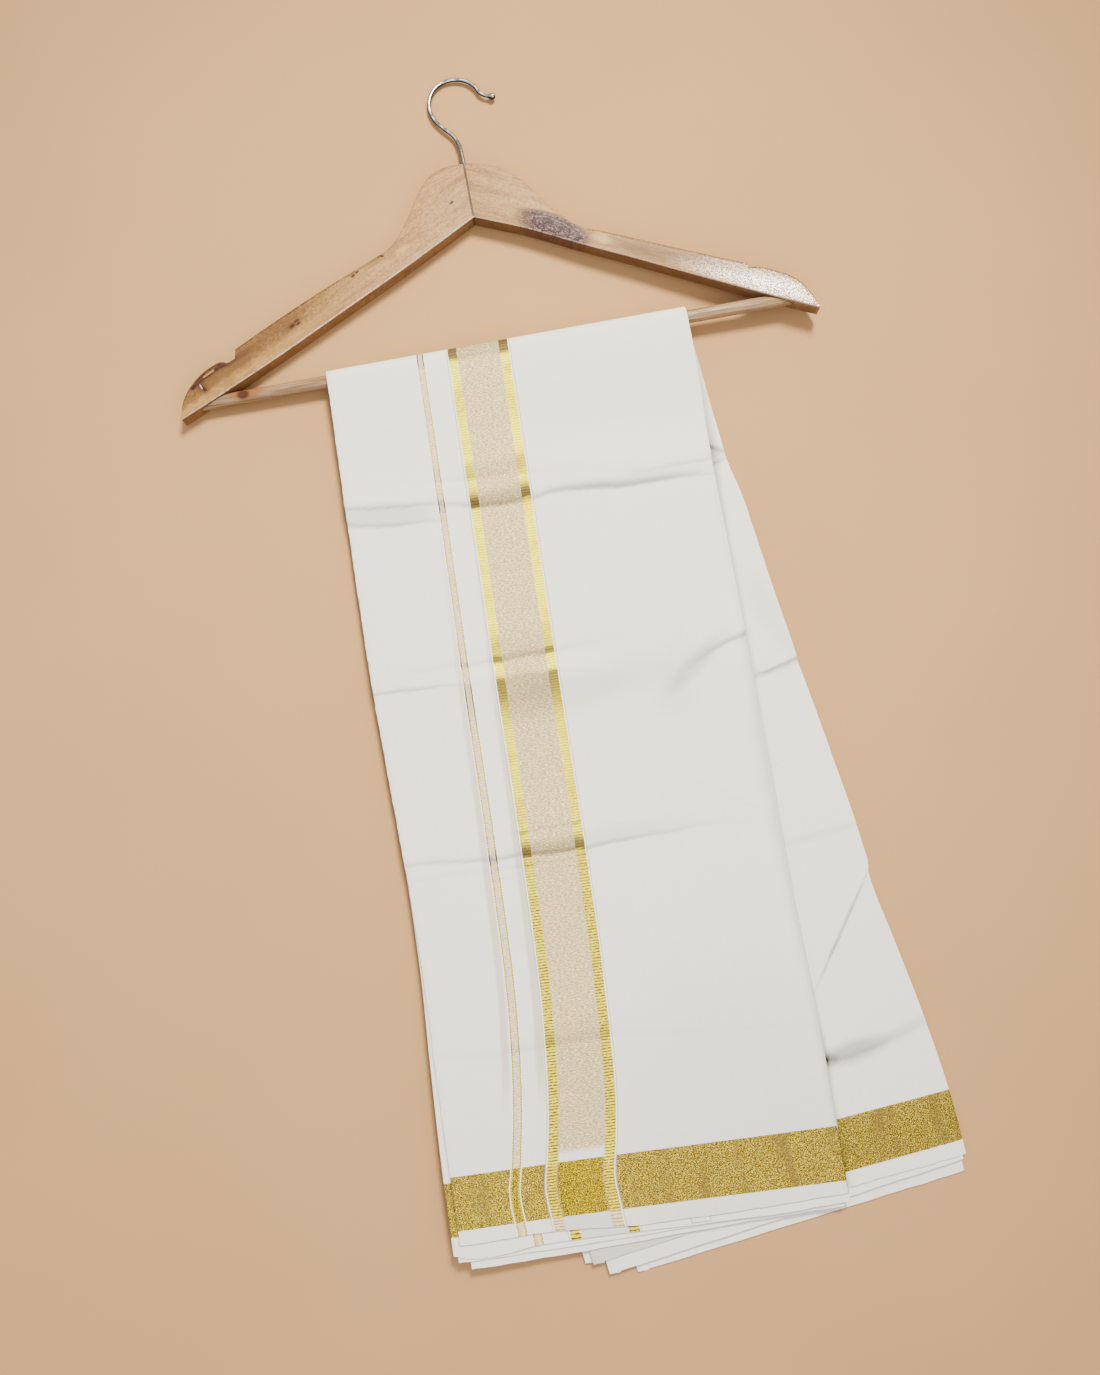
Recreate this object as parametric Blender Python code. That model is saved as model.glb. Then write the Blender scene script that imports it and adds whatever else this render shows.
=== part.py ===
"""A dhoti cloth, folded lengthwise into a strip and hung in half over the bar of a
wooden hanger, lying flat on its back.

The frame: +X runs along the bar, +Y points from the hem to the hook, +Z is up.
The cloth's underside and the hanger's head rest on Z = 0, and the origin is the
middle of the whole object's footprint.

Places on the cloth are given as (across, down): across is measured along the bar
from the hanger's centre line, and down is measured from the bar towards the hem.
All sizes are in millimetres and are turned into Blender's metres by MM.
"""

import math

import bmesh
import bpy
from mathutils import Vector

for old in list(bpy.data.objects):
    bpy.data.objects.remove(old)

MM = 0.001

# ---------------------------------------------------------------- driving sizes

GAP = 0.3                 # clearance between neighbouring pieces
WALL = 1.1                # one stretch of cloth
BAR_DIAMETER = 9.0
ARM_THICKNESS = 13.0
WIRE_DIAMETER = 2.8

BAR_X = 0.597             # middle of the bar, from the middle of the whole footprint
BAR_Y = 207.487
BAR_Z = 10.0
PITCH = 0.0209            # radians: the head lies lower than the bar
ROLL = 0.0140             # radians: the bar's right end lies higher than its left

FRONT_FOLDS_THICKNESS = 3.0
BACK_FOLDS_THICKNESS = 2.0
BACK_LEVEL = WALL + GAP + BACK_FOLDS_THICKNESS + GAP
FOLDS_LEVEL = BACK_LEVEL + WALL + GAP
FRONT_LEVEL = FOLDS_LEVEL + FRONT_FOLDS_THICKNESS + GAP
FRONT_SETTLE = 90.0       # how far below the bar the front stack comes to lie flat
BACK_SETTLE = 60.0
FOLDS_START = 12.0        # the front's inner leaves begin this far below the bar
BACK_FOLDS_START = 29.0

CORNER_LIFT = 4.0         # the front stack's loose left corner stands off the floor
LIFT_WIDTH = 70.0         # from the woven band, where the lift begins, to that corner
LIFT_START = 330.0        # how far below the bar the corner begins to lift
LIFT_RUN = 250.0

BAND_WIDTH = 42.7         # woven band of two gold stripes with tissue between them
CREASE_HALF_WIDTH = 10.0
FOLD_ROUND = 0.35         # how far the middle of a folded edge bulges
LEAF_LAP = 0.15           # how far joined leaves of a folded stack sink together

INNER_RADIUS = BAR_DIAMETER / 2 + GAP
INNER_OUTSIDE = INNER_RADIUS + WALL
OUTER_RADIUS = INNER_OUTSIDE + GAP
OUTER_OUTSIDE = OUTER_RADIUS + WALL

# --------------------------------------------------------------- outline tables

# down, left edge, right edge of the front leaf
FRONT_EDGES = (
    (0, -121.0, 133.7),
    (50, -122.8, 133.6),
    (93, -124.6, 131.8),
    (223, -127.0, 130.6),
    (343, -126.6, 128.6),
    (414, -125.0, 127.2),
    (469, -126.4, 127.3),
    (543, -128.4, 125.6),
    (600, -129.8, 123.9),
)

# down, left edge, right edge of the visible back leaf
BACK_EDGES = (
    (0, -121.0, 133.7),
    (34, -117.0, 137.3),
    (102, -109.0, 143.6),
    (182, -99.5, 154.8),
    (286, -86.0, 170.2),
    (396, -73.5, 182.6),
    (503, -60.5, 199.6),
    (547, -55.0, 203.6),
    (616, -47.0, 207.0),
)

# down, left side of the woven band
BAND_LINE = (
    (0, -35.3),
    (102, -38.3),
    (237, -42.6),
    (341, -45.4),
    (465, -52.1),
    (511, -58.2),
    (541, -64.2),
    (562, -68.9),
    (600, -68.0),
)

# the lines that close each stretch of a fall: down at its left and right edge
FRONT_LINES = {
    "border top": (543.1, 556.9),
    "border bottom": (577.0, 591.7),
    "hem": (586.3, 599.7),
}
BACK_LINES = {
    "border top": (566.3, 548.6),
    "border bottom": (602.0, 581.3),
    "hem": (614.8, 590.6),
}

# share of the way from the bar to the border, ridge height at left and right
CREASES = (
    (0.190, 1.0, 1.2),
    (0.412, 0.6, 0.8),
    (0.634, 0.8, 0.7),
    (0.885, 0.4, 0.5),
)

# the deeper leaves of each stack, from the top down: how far each edge stands outside
# the visible leaf's at the bar and at the hem, and where its hem lies.
# name, left at the bar, left at the hem, right at the bar, right at the hem,
# hem down at the left edge, hem down at the right edge
FRONT_LEAVES = (
    ("second", 0.6, 5.0, 0.0, 0.6, 591.4, 605.1),
    ("third", 0.2, 2.4, -0.4, -1.5, 596.8, 604.0),
    ("fourth", -0.6, -5.2, -0.8, -3.2, 602.8, 607.9),
)
BACK_LEAVES = (
    ("second", -0.5, -8.0, -0.4, -2.6, 622.1, 594.1),
    ("first", 0.3, 4.8, -0.8, -4.5, 613.6, 592.6),
)
UNDER_LEAF = ("under", -1.0, -25.0, -0.6, -3.4, 623.4, 602.1)
LEAF_START_STEP = 0.6     # each deeper leaf begins this much further from the bar

# across, up from the bar: upper outline of each arm, from the head to the tip
LEFT_ARM_TOP = (
    (-2.2, 139.4), (-12.4, 139.5), (-23.4, 135.9), (-32.8, 127.9), (-40.6, 116.0),
    (-48.5, 102.8), (-55.7, 93.3), (-65.0, 85.4), (-74.9, 81.0), (-108.8, 67.0),
    (-147.8, 49.3), (-180.7, 33.3), (-181.7, 26.0), (-192.0, 26.2), (-203.0, 21.9),
    (-212.4, 15.0), (-219.0, 7.4), (-223.0, -0.6), (-225.1, -10.1),
)
LEFT_ARM_BOTTOM = (
    (-223.9, -10.6), (-188.2, 5.2), (-152.0, 21.9), (-103.2, 45.8), (-54.0, 70.0),
    (0.0, 98.3),
)
RIGHT_ARM_TOP = (
    (2.2, 139.2), (13.4, 136.5), (23.6, 132.1), (33.3, 124.3), (40.9, 115.9),
    (48.1, 104.8), (55.3, 94.6), (62.8, 85.5), (72.2, 77.8), (87.4, 71.1),
    (120.9, 55.9), (154.3, 40.9), (181.8, 28.7), (182.2, 25.7), (194.2, 22.7),
    (202.4, 18.8), (210.4, 13.8), (217.1, 6.9), (221.3, -3.5), (223.9, -11.8),
)
RIGHT_ARM_BOTTOM = (
    (222.6, -12.4), (192.0, 3.1), (167.3, 15.4), (134.5, 32.1), (101.5, 49.0),
    (73.2, 63.1), (35.0, 83.0), (0.0, 98.3),
)

# across, up from the bar, thickness against the wire's
HOOK_ROUTE = (
    (0.0, 112.0, 1.0), (0.0, 124.0, 1.0), (0.0, 136.0, 1.0), (-0.1, 148.0, 1.0),
    (-0.7, 157.0, 1.0), (-3.6, 165.3, 1.0), (-9.2, 172.0, 1.0), (-14.4, 179.0, 1.0),
    (-17.0, 187.0, 1.0), (-15.9, 195.6, 1.0), (-11.2, 202.4, 1.0), (-3.8, 206.4, 1.0),
    (4.6, 207.0, 1.0), (12.6, 205.0, 1.0), (19.2, 200.0, 1.0), (23.6, 193.0, 1.0),
    (27.2, 190.6, 1.0), (29.4, 190.2, 1.45), (31.2, 190.0, 1.72), (33.0, 189.8, 1.45),
)
BAR_ENDS = (-211.0, 208.5)
SOCKET_RUN = 30.0         # length of the cutter that bores each arm for the bar
HOOK_BORE_EXCESS = 15.0   # how far the hook's hole cutter stands out of the head
ARM_EDGE_ROUND = 1.4
ARM_EDGE_ANGLE = 50.0     # degrees: only edges sharper than this are rounded

# how far down the rows of points lie, apart from those over the creases
FRONT_ROWS = (
    0.0, 10.0, 20.0, 32.0, 45.0, 58.0, 72.0, 140.0, 173.0, 206.0, 263.0, 297.0, 330.0,
    378.0, 410.0, 442.0, 466.0, 515.0,
)
BACK_ROWS = (
    0.0, 10.0, 20.0, 30.0, 42.0, 60.0, 110.0, 170.0, 230.0, 290.0, 350.0, 410.0, 470.0,
    520.0,
)

# how many cells wide each stretch of cloth is, and how many steps go round the bar
FIELD_LEFT_CELLS = 3
BAND_CELLS = 2
FIELD_RIGHT_CELLS = 5
BACK_CELLS = 6
TURN_STEPS = 8


# ------------------------------------------------------------------ small tools

def smooth(share):
    """Ease from 0 to 1, level at both ends."""
    share = min(max(share, 0.0), 1.0)
    return share * share * (3.0 - 2.0 * share)


def between(low, high, share):
    return low + (high - low) * share


def read_table(table, down, column):
    """A value of a table at a distance down, along a smooth curve through its rows."""
    last = len(table) - 1
    for index in range(last):
        if down <= table[index + 1][0] or index == last - 1:
            break
    before = table[max(index - 1, 0)]
    start = table[index]
    end = table[index + 1]
    after = table[min(index + 2, last)]
    run = end[0] - start[0]
    share = min(max((down - start[0]) / run, -0.2), 1.2)
    leave = (end[column] - before[column]) / (end[0] - before[0]) * run
    arrive = (after[column] - start[column]) / (after[0] - start[0]) * run
    square = share * share
    cube = square * share
    return (
        (2 * cube - 3 * square + 1) * start[column]
        + (cube - 2 * square + share) * leave
        + (3 * square - 2 * cube) * end[column]
        + (cube - square) * arrive
    )


def place(across, down, height):
    """A point of the cloth in Blender's metres."""
    return Vector((BAR_X + across, BAR_Y - down, height)) * MM


def make_material(name, colour, roughness, metallic=0.0):
    material = bpy.data.materials.new(name)
    material.use_nodes = True
    shader = material.node_tree.nodes["Principled BSDF"]
    shader.inputs["Base Color"].default_value = (*colour, 1.0)
    shader.inputs["Roughness"].default_value = roughness
    shader.inputs["Metallic"].default_value = metallic
    material.diffuse_color = (*colour, 1.0)
    return material


def add_object(name, mesh, material):
    thing = bpy.data.objects.new(name, mesh)
    thing.data.materials.append(material)
    bpy.context.collection.objects.link(thing)
    return thing


def mesh_from(bm, name, sharp_angle=40.0):
    bmesh.ops.recalc_face_normals(bm, faces=bm.faces)
    mesh = bpy.data.meshes.new(name)
    bm.to_mesh(mesh)
    bm.free()
    mesh.shade_smooth()
    mesh.set_sharp_from_angle(angle=math.radians(sharp_angle))
    return mesh


# ------------------------------------------------------------- how the cloth lies

def bar_height(across):
    return BAR_Z + ROLL * across


def front_crease(across, down):
    """Height of the cross-fold ridges that all the front leaves share."""
    height = 0.0
    _, left, right = FRONT_EDGES[-2]
    share_across = (across - left) / (right - left)
    side = smooth(share_across)
    top_left, top_right = FRONT_LINES["border top"]
    border = between(top_left, top_right, share_across)
    for share, left_height, right_height in CREASES:
        away = abs(down - share * border) / CREASE_HALF_WIDTH
        if away < 1.0:
            height += between(left_height, right_height, side) * (1.0 - smooth(away))
    return height


def corner_lift(across, down):
    """The front stack bridges off the back stack and its left corner stays up."""
    past_band = max(read_table(BAND_LINE, down, 1) - across, 0.0)
    return CORNER_LIFT * past_band / LIFT_WIDTH * smooth((down - LIFT_START) / LIFT_RUN)


def front_shape(across, down):
    return front_crease(across, down) + corner_lift(across, down)


def front_leaf_under(across, down):
    settled = smooth(down / FRONT_SETTLE)
    lying = between(bar_height(across) + OUTER_RADIUS, FRONT_LEVEL, settled)
    return lying + front_shape(across, down)


def front_folds_under(across, down):
    settled = smooth(down / FRONT_SETTLE)
    lying = between(bar_height(across) + INNER_RADIUS, FOLDS_LEVEL, settled)
    return lying + front_shape(across, down)


def back_leaf_under(across, down):
    settled = smooth(down / BACK_SETTLE)
    return between(bar_height(across) - INNER_OUTSIDE, BACK_LEVEL, settled)


def under_leaf_under(across, down):
    settled = smooth(down / BACK_SETTLE)
    return between(bar_height(across) - OUTER_OUTSIDE, 0.0, settled)


# ---------------------------------------------------------------- cloth sections

def row_between(lines, share):
    """A line across a fall, at a share of the way from the bar to its border."""
    left, right = lines["border top"]
    return (share * left, share * right)


def spread(start, end, cells):
    return [between(start, end, index / cells) for index in range(cells + 1)]


def front_x(edge_or_band, down):
    if edge_or_band == "left":
        return read_table(FRONT_EDGES, down, 1)
    if edge_or_band == "right":
        return read_table(FRONT_EDGES, down, 2)
    band_left = read_table(BAND_LINE, down, 1)
    return band_left if edge_or_band == "band left" else band_left + BAND_WIDTH


def back_x(edge, down):
    return read_table(BACK_EDGES, down, 1 if edge == "left" else 2)


def down_on_row(row, across, left, right):
    return between(row[0], row[1], (across - left) / (right - left))


def front_columns(row, start, end, cells, start_inset=0.0, end_inset=0.0):
    """Points (across, down) along one row, from one line of the leaf to another."""
    middle = (row[0] + row[1]) / 2
    left = front_x("left", row[0])
    right = front_x("right", row[1])
    ends = []
    for line, inset in ((start, start_inset), (end, -end_inset)):
        down = down_on_row(row, front_x(line, middle), left, right)
        ends.append(front_x(line, down) + inset)
    points = []
    for across in spread(ends[0], ends[1], cells):
        points.append((across, down_on_row(row, across, left, right)))
    return points


def lying_section(columns, under, over, rounded=False):
    """A closed cross-section: its upper points and its lower points, left to right."""
    top = [place(across, down, over(across, down)) for across, down in columns]
    bottom = [place(across, down, under(across, down)) for across, down in columns]
    return top, bottom, rounded


def turn_section(columns, angle, radius):
    """The same wall where it goes round the bar, at an angle above the horizontal."""
    reach = math.cos(angle)
    rise = math.sin(angle)
    outside = radius + WALL
    top = []
    bottom = []
    for across, down in columns:
        centre = bar_height(across)
        top.append(place(across, -outside * reach, centre + outside * rise))
        bottom.append(place(across, -radius * reach, centre + radius * rise))
    return top, bottom, False


def loft(name, sections, material):
    """Join closed cross-sections into one solid wall, capped at both ends."""
    bm = bmesh.new()
    loops = []
    for top, bottom, rounded in sections:
        upper = [bm.verts.new(point) for point in top]
        lower = [bm.verts.new(point) for point in bottom]
        noses = []
        if rounded:
            for here, inward in ((0, 1), (-1, -2)):
                middle = (top[here] + bottom[here]) / 2
                out = (top[here] - top[inward]).normalized() * FOLD_ROUND * MM
                noses.append(bm.verts.new(middle + out))
        loops.append((upper, lower, noses))
    for index in (0, -1):
        upper, lower, noses = loops[index]
        for cell in range(len(upper) - 1):
            bm.faces.new((upper[cell], upper[cell + 1], lower[cell + 1], lower[cell]))
        for nose, side in zip(noses, (0, -1)):
            bm.faces.new((upper[side], lower[side], nose))
    for first, second in zip(loops, loops[1:]):
        ring_a = first[0] + first[2][1:] + first[1][::-1] + first[2][:1]
        ring_b = second[0] + second[2][1:] + second[1][::-1] + second[2][:1]
        count = len(ring_a)
        for index in range(count):
            after = (index + 1) % count
            bm.faces.new((ring_a[index], ring_a[after], ring_b[after], ring_b[index]))
    return add_object(name, mesh_from(bm, name), material)


# --------------------------------------------------------------------- the front

def front_rows():
    """Rows of the front fall: close together near the bar and over each crease."""
    border = sum(FRONT_LINES["border top"]) / 2
    downs = list(FRONT_ROWS)
    for share, _, _ in CREASES:
        middle = share * border
        for offset in (-1.0, -0.5, 0.0, 0.5, 1.0):
            downs.append(middle + offset * CREASE_HALF_WIDTH)
    return [row_between(FRONT_LINES, down / border) for down in sorted(downs)]


def leaf_over(across, down):
    return front_leaf_under(across, down) + WALL


def front_stretch(name, start, end, cells, start_inset, end_inset, material):
    """One lengthwise stretch of the front leaf, with its turn round the bar."""
    sections = []
    top_row = row_between(FRONT_LINES, 0.0)
    columns = front_columns(top_row, start, end, cells, start_inset, end_inset)
    for step in range(TURN_STEPS):
        angle = math.radians(-90.0 + 180.0 * step / TURN_STEPS)
        sections.append(turn_section(columns, angle, OUTER_RADIUS))
    rows = front_rows()
    border_row = tuple(down - GAP / 2 for down in FRONT_LINES["border top"])
    rows.append(border_row)
    for row in rows:
        columns = front_columns(row, start, end, cells, start_inset, end_inset)
        sections.append(lying_section(columns, front_leaf_under, leaf_over))
    return loft(name, sections, material)


def crossing_stretch(name, upper_line, lower_line, last, material):
    """A stretch of the front leaf that runs from edge to edge below the band."""
    sections = []
    top = tuple(down + GAP / 2 for down in FRONT_LINES[upper_line])
    trim = 0.0 if last else GAP / 2
    bottom = tuple(down - trim for down in FRONT_LINES[lower_line])
    steps = 1 if last else 3
    for step in range(steps + 1):
        row = (between(top[0], bottom[0], step / steps),
               between(top[1], bottom[1], step / steps))
        left = front_columns(row, "left", "band left", FIELD_LEFT_CELLS)
        band = front_columns(row, "band left", "band right", BAND_CELLS)
        right = front_columns(row, "band right", "right", FIELD_RIGHT_CELLS)
        columns = left + band[1:] + right[1:]
        sections.append(lying_section(columns, front_leaf_under, leaf_over))
    return loft(name, sections, material)


def folds_leaf(leaf, index, count):
    """One hidden leaf of the front stack, a slab that laps into its neighbours."""
    name, left_bar, left_hem, right_bar, right_hem, hem_left, hem_right = leaf

    def over(across, down):
        top = front_leaf_under(across, down) - GAP
        bottom = front_folds_under(across, down)
        return between(top, bottom, index / count)

    def under(across, down):
        top = front_leaf_under(across, down) - GAP
        bottom = front_folds_under(across, down)
        lap = 0.0 if index == count - 1 else LEAF_LAP
        return between(top, bottom, (index + 1) / count) - lap

    start = FOLDS_START + GAP + index * LEAF_START_STEP
    rows = [(start, start)] + [row for row in front_rows() if row[0] > start]
    rows.append(FRONT_LINES["border top"])
    rows.append((hem_left, hem_right))
    sections = []
    for row in rows:
        share = row[0] / hem_left
        left_out = between(left_bar, left_hem, share)
        right_out = between(right_bar, right_hem, share)
        left = front_columns(row, "left", "band left", FIELD_LEFT_CELLS, -left_out)
        right = front_columns(row, "band left", "right", FIELD_RIGHT_CELLS,
                              0.0, -right_out)
        sections.append(lying_section(left + right[1:], under, over, rounded=True))
    return loft("front_leaf_" + name, sections, COTTON)


def join_leaves(name, leaves):
    """Unite overlapping leaves into one solid with stepped edges."""
    base = leaves[0]
    base.name = name
    for leaf in leaves[1:]:
        union = base.modifiers.new("join " + leaf.name, "BOOLEAN")
        union.operation = "UNION"
        union.solver = "MANIFOLD"
        union.object = leaf
        leaf.hide_render = True
        leaf.display_type = "WIRE"
    return base


# ---------------------------------------------------------------------- the back

def back_rows(last_row):
    """Rows of a fall behind: close together where it comes off the bar."""
    border = sum(BACK_LINES["border top"]) / 2
    return [row_between(BACK_LINES, down / border) for down in BACK_ROWS] + [last_row]


def back_columns(row, leaf=None):
    """Points (across, down) along one row of the visible back leaf or a deeper one."""
    left = back_x("left", row[0])
    right = back_x("right", row[1])
    if leaf:
        _, left_bar, left_hem, right_bar, right_hem, _, _ = leaf
        share = row[0] / BACK_LINES["hem"][0]
        left -= between(left_bar, left_hem, share)
        right += between(right_bar, right_hem, share)
    points = []
    for across in spread(left, right, BACK_CELLS):
        points.append((across, down_on_row(row, across, left, right)))
    return points


def back_over(across, down):
    return back_leaf_under(across, down) + WALL


def make_back_fall():
    """The inner leaf: from above the bar, round it, and down the back."""

    def tuck_under(across, down):
        return front_folds_under(across, down)

    def tuck_over(across, down):
        return front_folds_under(across, down) + WALL

    sections = []
    for down in (FOLDS_START, FOLDS_START / 2):
        sections.append(lying_section(back_columns((down, down)), tuck_under, tuck_over))
    columns = back_columns((0.0, 0.0))
    for step in range(TURN_STEPS + 1):
        angle = math.radians(90.0 - 180.0 * step / TURN_STEPS)
        sections.append(turn_section(columns, angle, INNER_RADIUS))
    last = tuple(down - GAP / 2 for down in BACK_LINES["border top"])
    for row in back_rows(last)[1:]:
        top, bottom, rounded = lying_section(back_columns(row), back_leaf_under, back_over)
        sections.append((bottom, top, rounded))
    return loft("back_fall", sections, COTTON)


def back_stretch(name, upper_line, lower_line, last, material):
    top = tuple(down + GAP / 2 for down in BACK_LINES[upper_line])
    trim = 0.0 if last else GAP / 2
    bottom = tuple(down - trim for down in BACK_LINES[lower_line])
    sections = []
    for row in (top, bottom):
        sections.append(lying_section(back_columns(row), back_leaf_under, back_over))
    return loft(name, sections, material)


def back_folds_leaf(leaf, index, count):
    name = leaf[0]
    start = BACK_FOLDS_START + index * LEAF_START_STEP

    def over(across, down):
        top = back_leaf_under(across, down) - GAP
        bottom = under_leaf_under(across, down) + WALL + GAP
        return between(top, bottom, index / count)

    def under(across, down):
        top = back_leaf_under(across, down) - GAP
        bottom = under_leaf_under(across, down) + WALL + GAP
        lap = 0.0 if index == count - 1 else LEAF_LAP
        return between(top, bottom, (index + 1) / count) - lap

    rows = [row for row in back_rows(leaf[-2:]) if row[0] > start]
    sections = []
    for row in [(start, start)] + rows:
        columns = back_columns(row, leaf)
        sections.append(lying_section(columns, under, over, rounded=True))
    return loft("back_leaf_" + name, sections, COTTON)


def make_under_fall():
    """The leaf that lies on the floor, from the turn under the bar to its hem."""

    def over(across, down):
        return under_leaf_under(across, down) + WALL

    sections = []
    rows = back_rows(UNDER_LEAF[-2:])
    rows[0] = (GAP, GAP)
    for row in rows:
        columns = back_columns(row, UNDER_LEAF)
        sections.append(lying_section(columns, under_leaf_under, over))
    return loft("under_fall", sections, COTTON)


# -------------------------------------------------------------------- the hanger

def arm_solid(name, upper, lower, seam_side, material):
    """An arm cut from a board: its outline, extruded and rounded along its edges."""
    bm = bmesh.new()
    seam = GAP / 2 * seam_side
    outline = [(seam, upper[0][1])] + list(upper[1:]) + list(lower[:-1])
    outline.append((seam, lower[-1][1]))
    face = bm.faces.new([
        bm.verts.new(Vector((across, up, -ARM_THICKNESS / 2)) * MM)
        for across, up in outline
    ])
    pulled = bmesh.ops.extrude_face_region(bm, geom=[face])
    moved = [item for item in pulled["geom"] if isinstance(item, bmesh.types.BMVert)]
    bmesh.ops.translate(bm, verts=moved, vec=(0.0, 0.0, ARM_THICKNESS * MM))
    arm = add_object(name, mesh_from(bm, name), material)
    rounding = arm.modifiers.new("rounded edges", "BEVEL")
    rounding.width = ARM_EDGE_ROUND * MM
    rounding.segments = 2
    rounding.limit_method = "ANGLE"
    rounding.angle_limit = math.radians(ARM_EDGE_ANGLE)
    return arm


def rod(name, centre, axis, radius, length, material, sides=24):
    """A round rod, centred on a point and turned so that its axis is X or Y."""
    bm = bmesh.new()
    bmesh.ops.create_cone(
        bm, cap_ends=True, segments=sides, radius1=radius * MM, radius2=radius * MM,
        depth=length * MM)
    bar = add_object(name, mesh_from(bm, name), material)
    bar.location = Vector(centre) * MM
    if axis == "X":
        bar.rotation_euler = (0.0, math.radians(90.0), 0.0)
    else:
        bar.rotation_euler = (math.radians(90.0), 0.0, 0.0)
    return bar


def bore(target, cutter):
    cut = target.modifiers.new("bore " + cutter.name, "BOOLEAN")
    cut.operation = "DIFFERENCE"
    cut.solver = "EXACT"
    cut.object = cutter
    cutter.hide_render = True
    cutter.display_type = "WIRE"


def make_hook():
    """The wire hook: one smooth bend with a ball at its end."""
    curve = bpy.data.curves.new("hook", "CURVE")
    curve.dimensions = "3D"
    curve.bevel_depth = WIRE_DIAMETER / 2 * MM
    curve.bevel_resolution = 2
    curve.use_fill_caps = True
    spline = curve.splines.new("POLY")
    fine = []
    last = len(HOOK_ROUTE) - 1
    for index in range(last):
        before = HOOK_ROUTE[max(index - 1, 0)]
        start = HOOK_ROUTE[index]
        end = HOOK_ROUTE[index + 1]
        after = HOOK_ROUTE[min(index + 2, last)]
        for step in range(2):
            share = step / 2
            fine.append(tuple(
                0.5 * (2 * b + (c - a) * share + (2 * a - 5 * b + 4 * c - d) * share ** 2
                       + (3 * b - a - 3 * c + d) * share ** 3)
                for a, b, c, d in zip(before, start, end, after)))
    fine.append(HOOK_ROUTE[-1])
    spline.points.add(len(fine) - 1)
    for point, (across, up, thickness) in zip(spline.points, fine):
        point.co = (across * MM, up * MM, 0.0, 1.0)
        point.radius = thickness
    hook = bpy.data.objects.new("hanger_hook", curve)
    curve.materials.append(STEEL)
    bpy.context.collection.objects.link(hook)
    return hook


def make_hanger():
    frame = bpy.data.objects.new("hanger_frame", None)
    bpy.context.collection.objects.link(frame)
    frame.location = Vector((BAR_X, BAR_Y, BAR_Z)) * MM
    frame.rotation_euler = (-PITCH, -ROLL, 0.0)

    left = arm_solid("hanger_arm_left", LEFT_ARM_TOP, LEFT_ARM_BOTTOM, -1, WOOD)
    right = arm_solid("hanger_arm_right", RIGHT_ARM_TOP, RIGHT_ARM_BOTTOM, 1, WOOD)
    start, end = BAR_ENDS
    bar = rod("trouser_bar", ((start + end) / 2, 0.0, 0.0), "X", BAR_DIAMETER / 2,
              end - start, BAR_WOOD)
    hook = make_hook()

    socket_radius = BAR_DIAMETER / 2 + GAP
    left_socket = rod("socket_left", (start - GAP + SOCKET_RUN / 2, 0.0, 0.0), "X",
                      socket_radius, SOCKET_RUN, WOOD)
    right_socket = rod("socket_right", (end + GAP - SOCKET_RUN / 2, 0.0, 0.0), "X",
                       socket_radius, SOCKET_RUN, WOOD)
    hole_low = HOOK_ROUTE[0][1] - GAP
    hole_high = LEFT_ARM_TOP[0][1] + HOOK_BORE_EXCESS
    hook_hole = rod("hook_hole", (0.0, (hole_low + hole_high) / 2, 0.0), "Y",
                    WIRE_DIAMETER / 2 + GAP, hole_high - hole_low, WOOD)
    bore(left, left_socket)
    bore(left, hook_hole)
    bore(right, right_socket)
    bore(right, hook_hole)
    for piece in (left, right, bar, hook, left_socket, right_socket, hook_hole):
        piece.parent = frame


# -------------------------------------------------------------------- the object

COTTON = make_material("cotton", (0.74, 0.72, 0.67), 0.85)
ZARI = make_material("zari", (0.56, 0.38, 0.09), 0.38, 0.7)
WOOD = make_material("wood", (0.50, 0.30, 0.17), 0.35)
BAR_WOOD = make_material("bar wood", (0.62, 0.45, 0.29), 0.4)
STEEL = make_material("steel", (0.62, 0.61, 0.60), 0.2, 1.0)

make_hanger()

front_stretch("front_field_left", "left", "band left", FIELD_LEFT_CELLS,
              0.0, GAP / 2, COTTON)
front_stretch("front_gold_band", "band left", "band right", BAND_CELLS,
              GAP / 2, GAP / 2, ZARI)
front_stretch("front_field_right", "band right", "right", FIELD_RIGHT_CELLS,
              GAP / 2, 0.0, COTTON)
crossing_stretch("front_border", "border top", "border bottom", False, ZARI)
crossing_stretch("front_hem", "border bottom", "hem", True, COTTON)
join_leaves("front_folds", [
    folds_leaf(leaf, index, len(FRONT_LEAVES)) for index, leaf in enumerate(FRONT_LEAVES)
])

make_back_fall()
back_stretch("back_border", "border top", "border bottom", False, ZARI)
back_stretch("back_hem", "border bottom", "hem", True, COTTON)
join_leaves("back_folds", [
    back_folds_leaf(leaf, index, len(BACK_LEAVES)) for index, leaf in enumerate(BACK_LEAVES)
])
make_under_fall()
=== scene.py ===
# %% [markdown]
# # A dhoti cloth on a wooden hanger
#
# A dhoti is one long length of white cotton. Gold thread, called zari, is woven into its
# two selvedges and into a band near its end. This one has been folded lengthwise into a
# strip, hung in half over the bar of a wooden hanger, and laid on its back.
#
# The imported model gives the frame: every piece here is made round it and rides on it.

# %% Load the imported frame
import math

import bmesh
import bpy
import numpy as np
from mathutils import Euler, Matrix, Vector


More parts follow.
